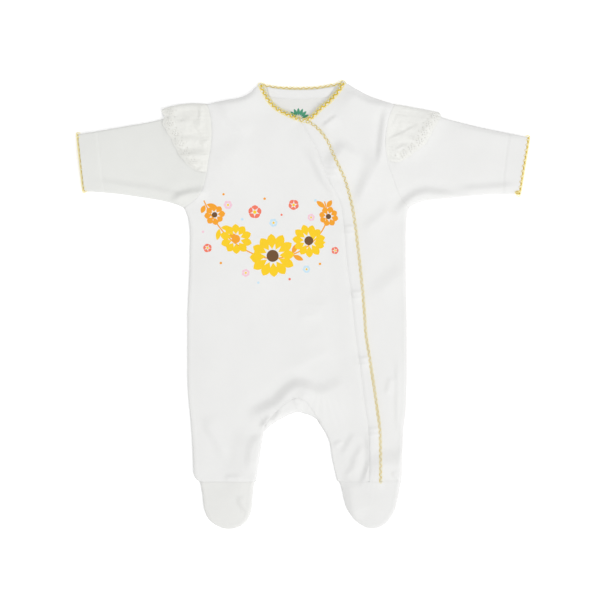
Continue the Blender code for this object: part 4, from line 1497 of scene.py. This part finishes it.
# Scalloped free edge, and for each scallop small holes along it, single holes, and a flower in a ring of
# thread. Eyelets by the share of the way along, distance from the free edge, radius, and offset from there.
Eyelet = namedtuple("Eyelet", "share edge radius along deeper", defaults=(0.0, 0.0))
SCALLOPS = 7
SCALLOP_DEPTH = 0.9
EDGE_HOLES = (-0.33, 0.0, 0.33)
EDGE_HOLE_PLACE = 2.4
EDGE_HOLE_BOW = 0.5
EYELET_BAND = 8.0
INNER_HOLE_PLACE = 14.6
BETWEEN_PLACES = (4.4, 12.6)
EYELET_SMALL = 0.29
EYELET_PETAL = 0.38
EYELET_HEART = 0.42
EYELET_SIZE = {"right": 0.67, "left": 0.8}
EYELET_SIDES = 8
EYELET_FLOWER = 2.8
EYELET_PETALS = 6
EYELET_RING = 4.3
EYELET_RING_SIDES = 20
HOLE_ROOM = 9.0
FLOWER_ROOM = 20.0
EYELET_THREAD = 0.12
EYELET_RING_THREAD = 0.18
EMBROIDERY_LIFT = 0.06

# Sharper folds of the frills, in the plane of the suit
FRILL_FOLDS = {
    "right": (
        Crease(1.3, 4.5, 1.3, ((-115.5, 227.0), (-115.0, 212.0), (-115.5, 199.0))),
        Crease(0.8, 3.5, 1.1, ((-107.0, 224.0), (-105.5, 213.0), (-105.8, 200.0))),
        Crease(1.2, 4.0, 1.4, ((-121.0, 200.0), (-114.5, 193.0), (-110.0, 186.0))),
        Fold(2.2, 4.5, 7.0, ((-146.0, 171.5), (-125.0, 170.5), (-100.0, 172.0))),
        Fold(1.1, 2.5, 4.0, ((-136.0, 160.0), (-118.0, 159.5), (-102.0, 160.0))),
        Fold(1.5, 4.0, 5.0, ((-117.0, 181.0), (-107.0, 186.0), (-98.0, 191.0))),
        Fold(1.0, 5.0, 7.0, ((-147.0, 185.0), (-136.0, 188.0), (-126.0, 193.0))),
        Fold(0.6, 4.0, 9.0, ((-163.0, 211.0), (-152.0, 218.5), (-141.0, 223.0))),
        Crease(0.9, 2.0, 5.0, ((-150.0, 207.0), (-136.0, 205.0), (-124.0, 209.0))),
    ),
    "left": (
        Crease(1.4, 1.6, 8.0, ((89.0, 183.0), (105.0, 189.0), (118.0, 195.5), (131.0, 202.0))),
        Crease(0.9, 1.8, 6.0, ((97.0, 169.0), (105.0, 173.5), (112.0, 177.5), (121.0, 179.0))),
        Crease(0.8, 1.3, 5.0, ((97.0, 197.0), (102.5, 205.0), (107.0, 215.0))),
        Fold(0.6, 5.0, 8.0, ((133.0, 180.0), (136.0, 200.0), (140.0, 221.0))),
        Crease(0.9, 2.5, 5.0, ((122.0, 190.0), (134.0, 194.0), (143.0, 202.0))),
    ),
}


def wave(share, strength, pace, start):
    """Wave along a frill."""
    return strength * np.sin(pace * share + start)


class Frill:
    """A gathered frill between its sewn edge and its free edge.

    A place on it is a pair: the share of the way from the shoulder to the lower end, and the share of the way
    from the sewn edge to the free edge.
    """

    def __init__(self, side, seam, free):
        self.side = side
        self.seam = curve(seam, FRILL_STEP)
        self.free = curve(free, FRILL_STEP)

    def plan(self, places):
        """Points in the plane for places on the frill."""
        share, out = places.T
        points = at(self.seam, share) * (1.0 - out)[:, None] + at(self.free, share) * out[:, None]
        bulge = FRILL_BULGE[self.side] * np.sin(math.pi * np.clip(out, 0.0, 1.0))
        points[:, 1] += bulge * ease(1.0 - share / BULGE_RUN)
        return points

    def depth(self, share):
        """Distance from the sewn edge to the free edge at a share of the way."""
        return math.dist(*self.plan(np.array([[share, 0.0], [share, 1.0]])))

    def run(self, share, out):
        """Length of the frill's row at a place, if it went on as there all the way."""
        ends = self.plan(np.array([[share - RUN_STEP, out], [share + RUN_STEP, out]]))
        return math.dist(*ends) / (2.0 * RUN_STEP)

    def gathers(self, places, points):
        """Height of the uneven gathers and folds."""
        share, out = places.T
        turns = GATHERS * share + wave(share, *GATHER_WANDER) + wave(share, *GATHER_RESTLESS)
        valleys = np.cos(2.0 * math.pi * turns + GATHER_SLANT * out)
        broad = GATHER_HEIGHT * (0.5 - 0.5 * valleys) * ease(out / GATHER_RISE)
        turns = SEAM_GATHERS * (share + wave(share, *SEAM_GATHER_WANDER))
        pleats = np.sin(2.0 * math.pi * turns + SEAM_GATHER_SLANT * out)
        strength = 1.0 - SEAM_GATHER_STRENGTH[0] + wave(share, *SEAM_GATHER_STRENGTH)
        pleats *= SEAM_GATHER_HEIGHT * strength
        short = pleats * np.exp(-out / SEAM_GATHER_FADE) * ease(out / SEAM_GATHER_RISE)
        lumps = np.maximum(unevenness(points, FRILL_LUMPS, LUMPS_APART) + LUMP_LIFT, 0.0)
        folds = crease_height(points, FRILL_FOLDS[self.side])
        return broad + short + lumps * ease(out / FRILL_RISE) + folds * ease(out / FRILL_FOLD_RISE)

    def lifted(self, places, points):
        """Height above the sleeve, on which the free edge comes to rest."""
        out = places[:, 1]
        height = FRILL_CLEARANCE * ease(out / FRILL_RISE) + self.gathers(places, points)
        return height * (1.0 - FRILL_DROP * ease((out - DROP_FROM) / (1.0 - DROP_FROM)))

    def height(self, places):
        """Height of the outer face, which lies on the sleeve and rolls down at the frill's top edge."""
        out = places[:, 1]
        points = self.plan(places)
        resting = relaxed(points)[1]
        top = SLEEVE_TOPS[self.side]
        order = np.argsort(top[:, 0])
        beyond = points[:, 1] > np.interp(points[:, 0], top[order, 0], top[order, 1])
        height = np.where(beyond, OVER, resting) + self.lifted(places, points)
        edge = self.plan(np.column_stack([np.zeros(len(places)), out]))
        turn = FRILL_TURN[0] + FRILL_TURN[1] * ease(out / TURN_RISE)
        height = FRILL_EDGE + (height - FRILL_EDGE) * rounded(np.hypot(*(points - edge).T) / turn)
        sleeve = np.where(beyond, 0.0, upper(points) + FRILL_TOUCH * ease(out / TOUCH_RISE))
        return np.maximum(height, sleeve)

    def solid(self, places, lift=0.0):
        """Points of the outer face, or above it."""
        return np.column_stack([self.plan(places), self.height(places) + lift])

    def hole(self, eyelet, sides=EYELET_SIDES):
        """Loop of places round an eyelet."""
        depth = self.depth(eyelet.share)
        out = 1.0 - (eyelet.edge + eyelet.deeper) / depth
        share = eyelet.share + eyelet.along / self.run(eyelet.share, out)
        room = np.array([self.run(share, out), depth])
        return np.array([share, out]) + eyelet.radius * circle(sides) / room

    def eyelets(self):
        """The eyelets of each scallop, as far as there is room for them."""
        size = EYELET_SIZE[self.side]
        small, petal, heart = (size * radius for radius in (EYELET_SMALL, EYELET_PETAL, EYELET_HEART))
        found = []
        for i in range(SCALLOPS):
            share = (i + 0.5) / SCALLOPS
            depth = self.depth(share)
            if depth < HOLE_ROOM:
                continue
            for part in EDGE_HOLES:
                edge = EDGE_HOLE_PLACE - EDGE_HOLE_BOW * math.cos(3.0 * part)
                found.append(Eyelet(share + part / SCALLOPS, edge, small))
            if depth < FLOWER_ROOM:
                continue
            found.append(Eyelet(share, EYELET_BAND, heart))
            for j in range(EYELET_PETALS):
                turn = 2.0 * math.pi * j / EYELET_PETALS + 0.5 + i
                reach = (EYELET_FLOWER * math.cos(turn), EYELET_FLOWER * math.sin(turn))
                found.append(Eyelet(share, EYELET_BAND, petal, *reach))
            found.append(Eyelet(share, INNER_HOLE_PLACE, small))
            if i < SCALLOPS - 1:
                found += [Eyelet(share + 0.5 / SCALLOPS, edge, petal) for edge in BETWEEN_PLACES]
        return found

    def rings(self):
        """Loops of places of the thread rings that go round the flowers."""
        rings = [Eyelet((i + 0.5) / SCALLOPS, EYELET_BAND, EYELET_RING) for i in range(SCALLOPS)]
        return [self.hole(ring, EYELET_RING_SIDES) for ring in rings if self.depth(ring.share) > FLOWER_ROOM]

    def pattern(self):
        """Flat outline, scalloped along its free edge."""
        rows = np.linspace(0.0, 1.0, FRILL_ROWS)
        depths = np.maximum([self.depth(share) for share in rows], FRILL_LEAST_DEPTH)
        scalloped = 1.0 + SCALLOP_DEPTH * (np.abs(np.sin(math.pi * SCALLOPS * rows)) - 0.5) / depths
        ends = np.linspace(0.0, 1.0, FRILL_END_ROWS)[1:-1]
        edges = (
            np.stack([rows, np.zeros(len(rows))], axis=1),
            np.stack([np.ones(len(ends)), ends * scalloped[-1]], axis=1),
            np.stack([rows, scalloped], axis=1)[::-1],
            np.stack([np.zeros(len(ends)), ends[::-1] * scalloped[0]], axis=1),
        )
        return joined(*(edge * FRILL_SCALE for edge in edges))


def make_frill(side, seam, free):
    """Frill at a sleeve head, with its holes cut through and bound with thread.

    The pattern of the right one is turned over as it is laid, so its faces are turned back.
    """
    frill = Frill(side, seam, free)
    node = "frill_" + side
    eyelets = frill.eyelets()
    holes = [frill.hole(eyelet) * FRILL_SCALE for eyelet in eyelets]
    points, triangles, last = cut(frill.pattern(), FRILL_SPACING, holes)
    triangles = [face for face, loop in zip(triangles, last) if loop < 0]
    if side == "right":
        triangles = [face[::-1] for face in triangles]
    solid = frill.solid(points / FRILL_SCALE)
    piece = make_piece(node + "_cloth", solid, triangles, [EYELETS_LIT_AND_SHADED[side]])
    dress(piece, node)
    finish_sheet(piece, FRILL_WALL)
    bound = [frill.hole(eyelet._replace(radius=eyelet.radius + EYELET_THREAD)) for eyelet in eyelets]
    for name, loops, thread in (
        ("_embroidery", bound, EYELET_THREAD),
        ("_rings", frill.rings(), EYELET_RING_THREAD),
    ):
        lines = [frill.solid(loop, EMBROIDERY_LIFT) for loop in loops]
        grow(node + name, THREAD, lines, "eyelet", closed=True, Thread=thread, Material=EMBROIDERY)


# -----------------------------------------------------------------------------
# Poppers
# -----------------------------------------------------------------------------

# Radius and height of their profile, from the rim to the middle of the top
POPPER_PROFILE = ((4.6, 0.0), (4.6, 0.5), (4.3, 0.75), (3.3, 0.95), (2.6, 1.0), (2.3, 1.35), (1.2, 1.45))
POPPER_FACETS = 32
POPPER_GAP = 0.03


def make_popper(number, x, y):
    """Disc that stands for the two closed halves of a popper."""
    base = float(upper(np.array([[x, y]]))[0]) + POPPER_GAP
    rings = []
    for radius, height in POPPER_PROFILE:
        ring = np.array([x, y]) + radius * circle(POPPER_FACETS)
        rings.append(np.column_stack([ring, np.full(POPPER_FACETS, base + height)]))
    points = np.vstack([*rings, [[x, y, base + POPPER_PROFILE[-1][1]], [x, y, base]]])
    last_ring = (len(POPPER_PROFILE) - 1) * POPPER_FACETS
    middle = last_ring + POPPER_FACETS
    faces = []
    for j in range(POPPER_FACETS):
        k = (j + 1) % POPPER_FACETS
        for low in range(0, last_ring, POPPER_FACETS):
            faces.append((low + j, low + k, low + POPPER_FACETS + k, low + POPPER_FACETS + j))
        faces.append((last_ring + j, last_ring + k, middle))
        faces.append((k, j, middle + 1))
    piece = make_piece("popper_%d_resin" % number, points, faces, [POPPER])
    dress(piece, "popper_%d" % number)


# -----------------------------------------------------------------------------
# The suit
# -----------------------------------------------------------------------------

back_outline = joined(
    NECKS["back"][::-1],
    SHOULDERS["right"],
    ARMHOLES["right"],
    SIDE_RIGHT,
    ANKLES["right"][::-1],
    INSEAM_RIGHT,
    CROTCH_EDGE,
    INSEAM_LEFT,
    ANKLES["left"],
    SIDE_LEFT[::-1],
    ARMHOLES["left"][::-1],
    SHOULDERS["left"][::-1],
)
right_front_outline = joined(
    NECKS["right"],
    SEAM,
    curve((SEAM[-1], ANKLES["left"][0])),
    FRONT_INSEAM[::-1],
    ANKLES["right"],
    SIDE_RIGHT[::-1],
    ARMHOLES["right"][::-1],
    SHOULDERS["right"][::-1],
)
hidden = HIDDEN_EDGE[HIDDEN_EDGE[:, 1] < UNDERLAP_TOP]
left_front_outline = joined(
    NECKS["left"],
    hidden,
    curve((hidden[-1], ANKLES["left"][-1])),
    SIDE_LEFT[::-1],
    ARMHOLES["left"][::-1],
    SHOULDERS["left"][::-1],
)
band_outline = joined(SEAM, curve((SEAM[-1], EDGE[-1])), EDGE[::-1], curve((EDGE[0], SEAM[0])))
gusset_outline = joined(curve(FORK[FORK_TO_CROTCH:-FORK_TO_CROTCH]), CROTCH_EDGE[::-1])
tape_outline = joined(
    curve(TAPE_TOP),
    curve((TAPE_TOP[-1], TAPE_LOW[-1])),
    curve(TAPE_LOW)[::-1],
    curve((TAPE_LOW[0], TAPE_TOP[0])),
)

# body
panel("back", back_outline, material=JERSEY_BACK_PAINTED_SHADE, spacing=HIDDEN, surface=lower, prints=sprig())
panel("front_left", left_front_outline)
panel(
    "front_right",
    right_front_outline,
    surface=over_placket,
    prints=garland(),
)
panel(
    "placket_band",
    band_outline,
    material=JERSEY_BAND,
    surface=over_placket,
)
panel("crotch_gusset", gusset_outline)

# sleeves and frills
for side in SIDES:
    sleeve_outline = joined(
        ARMHOLES[side],
        SLEEVE_UNDERS[side],
        curve((SLEEVE_UNDERS[side][-1], SLEEVE_TOPS[side][-1])),
        SLEEVE_TOPS[side][::-1],
    )
    tube("sleeve_" + side, sleeve_outline, SLEEVE_JERSEYS_LIT_AND_SHADED[side])
make_frill("right", FRILL_SEAM_RIGHT, FRILL_FREE_RIGHT)
make_frill("left", FRILL_SEAM_LEFT, FRILL_FREE_LEFT)

# feet
for side in SIDES:
    foot_outline = joined(FEET[side], curve(FEET[side][[-1, 0]]))
    panel("foot_sole_" + side, foot_outline, spacing=HIDDEN, surface=lower)
    panel(
        "foot_upper_" + side,
        foot_outline,
        material=JERSEY_FEET_PAINTED_SHADE[side],
        surface=over_foot,
    )

# neck tape
panel(
    "back_neck_tape",
    tape_outline,
    material=JERSEY_BAND,
    surface=on_tape,
    wall=TAPE_WALL,
)

# edgings
edge_front()
left_neck = beside(NECKS["left"][2:-4][::-1], -LEFT_NECK_INSET)
left_line = lay(left_neck, upper, EDGING_LIFT)
edge_neck("neck_trim_left", "left_neck_twist", left_line, NECK_FULLNESS, NECK_STRAND["left"])
back_neck = beside(NECKS["back"][3:-3], -BACK_NECK_INSET)
back_line = lay(back_neck, on_back, BACK_EDGING_LIFT)
edge_neck("neck_trim_back", "back_neck_twist", back_line, BACK_FULLNESS, BACK_STRAND)
for side in SIDES:
    edge_cuff(side)

# stitches
for side in SIDES:
    sew("cuff_stitches_" + side, [lay(HEMS[side][2:-2], upper, HEM_STITCH_LIFT)])
sew("band_stitches", [lay(beside(SEAM, -BAND_STITCHES)[3:-2], over_placket, STITCH_LIFT)])
sew("gusset_stitches", [lay(beside(curve(FORK[5:16]), GUSSET_STITCHES), upper, STITCH_LIFT)])
ankle_rows = [beside(ANKLES[side], ANKLE_STITCHES)[3:-3] for side in SIDES]
sew("ankle_stitches", [lay(row, upper, STITCH_LIFT) for row in ankle_rows])
inset = (0.0, TAPE_STITCHES)
tape_rows = [curve(np.array(TAPE_TOP) - inset)[1:-1], curve(np.array(TAPE_LOW) + inset)[1:-1]]
sew("tape_stitches", [lay(row, on_tape, TAPE_STITCH_LIFT) for row in tape_rows], TAPE_THREAD)

# poppers
for number, (x, y) in enumerate(poppers_at(), 1):
    make_popper(number, x, y)


# -----------------------------------------------------------------------------
# Floor, light and camera
# -----------------------------------------------------------------------------

# Side of the floor in metres, and strength of the light from all round
FLOOR_SIZE = 12.0
SKY_STRENGTH = 0.632

# Camera: the width and middle of what it sees at the level of the cloth, and its height above that
VIEW_WIDTH = 672.0
VIEW_MIDDLE = (-3.36, 5.6)
CAMERA_HEIGHT = 2400.0
CLOTH_LEVEL = 4.0
SENSOR_WIDTH = 36.0


def add_floor():
    """Pale matt floor, which glows a little so that it stays paler than the suit."""
    half = FLOOR_SIZE / 2.0
    corners = [(-half, -half, 0.0), (half, -half, 0.0), (half, half, 0.0), (-half, half, 0.0)]
    mesh = bpy.data.meshes.new("floor")
    mesh.from_pydata(corners, [], [(0, 1, 2, 3)])
    material = bpy.data.materials.new("pale_floor")
    material.use_nodes = True
    shader = material.node_tree.nodes["Principled BSDF"]
    shader.inputs["Base Color"].default_value = (0.97, 0.97, 0.97, 1.0)
    shader.inputs["Roughness"].default_value = 0.9
    shader.inputs["Specular IOR Level"].default_value = 0.1
    shader.inputs["Emission Color"].default_value = (1.0, 1.0, 1.0, 1.0)
    shader.inputs["Emission Strength"].default_value = 0.12
    mesh.materials.append(material)
    add_object("floor", mesh)


def add_softbox(name, place, size, power):
    """Round softbox that faces the middle of the floor."""
    lamp = bpy.data.lights.new(name, "AREA")
    lamp.shape = "DISK"
    lamp.size = size
    lamp.energy = power
    box = add_object(name, lamp)
    box.location = place
    box.rotation_euler = (-Vector(place)).to_track_quat("-Z", "Y").to_euler()


def set_sky():
    """Even white light from all round."""
    world = bpy.data.worlds.new("studio")
    world.use_nodes = True
    sky = world.node_tree.nodes["Background"]
    sky.inputs["Color"].default_value = (1.0, 1.0, 1.0, 1.0)
    sky.inputs["Strength"].default_value = SKY_STRENGTH
    bpy.context.scene.world = world


def add_camera():
    """The scene's camera, which looks straight down."""
    lens = bpy.data.cameras.new("camera")
    lens.sensor_width = SENSOR_WIDTH
    lens.lens = SENSOR_WIDTH * CAMERA_HEIGHT / VIEW_WIDTH
    lens.clip_end = 50.0
    camera = add_object("camera", lens)
    x, y = VIEW_MIDDLE
    camera.location = (x * MM, y * MM, (CAMERA_HEIGHT + CLOTH_LEVEL) * MM)
    bpy.context.scene.camera = camera


add_floor()
set_sky()
add_softbox("key", place=(3.9, -4.16, 4.42), size=3.0, power=213.0)
add_softbox("overhead", place=(-0.1, 0.35, 1.6), size=0.8, power=6.1)
add_camera()
bpy.context.scene.view_settings.view_transform = "Standard"
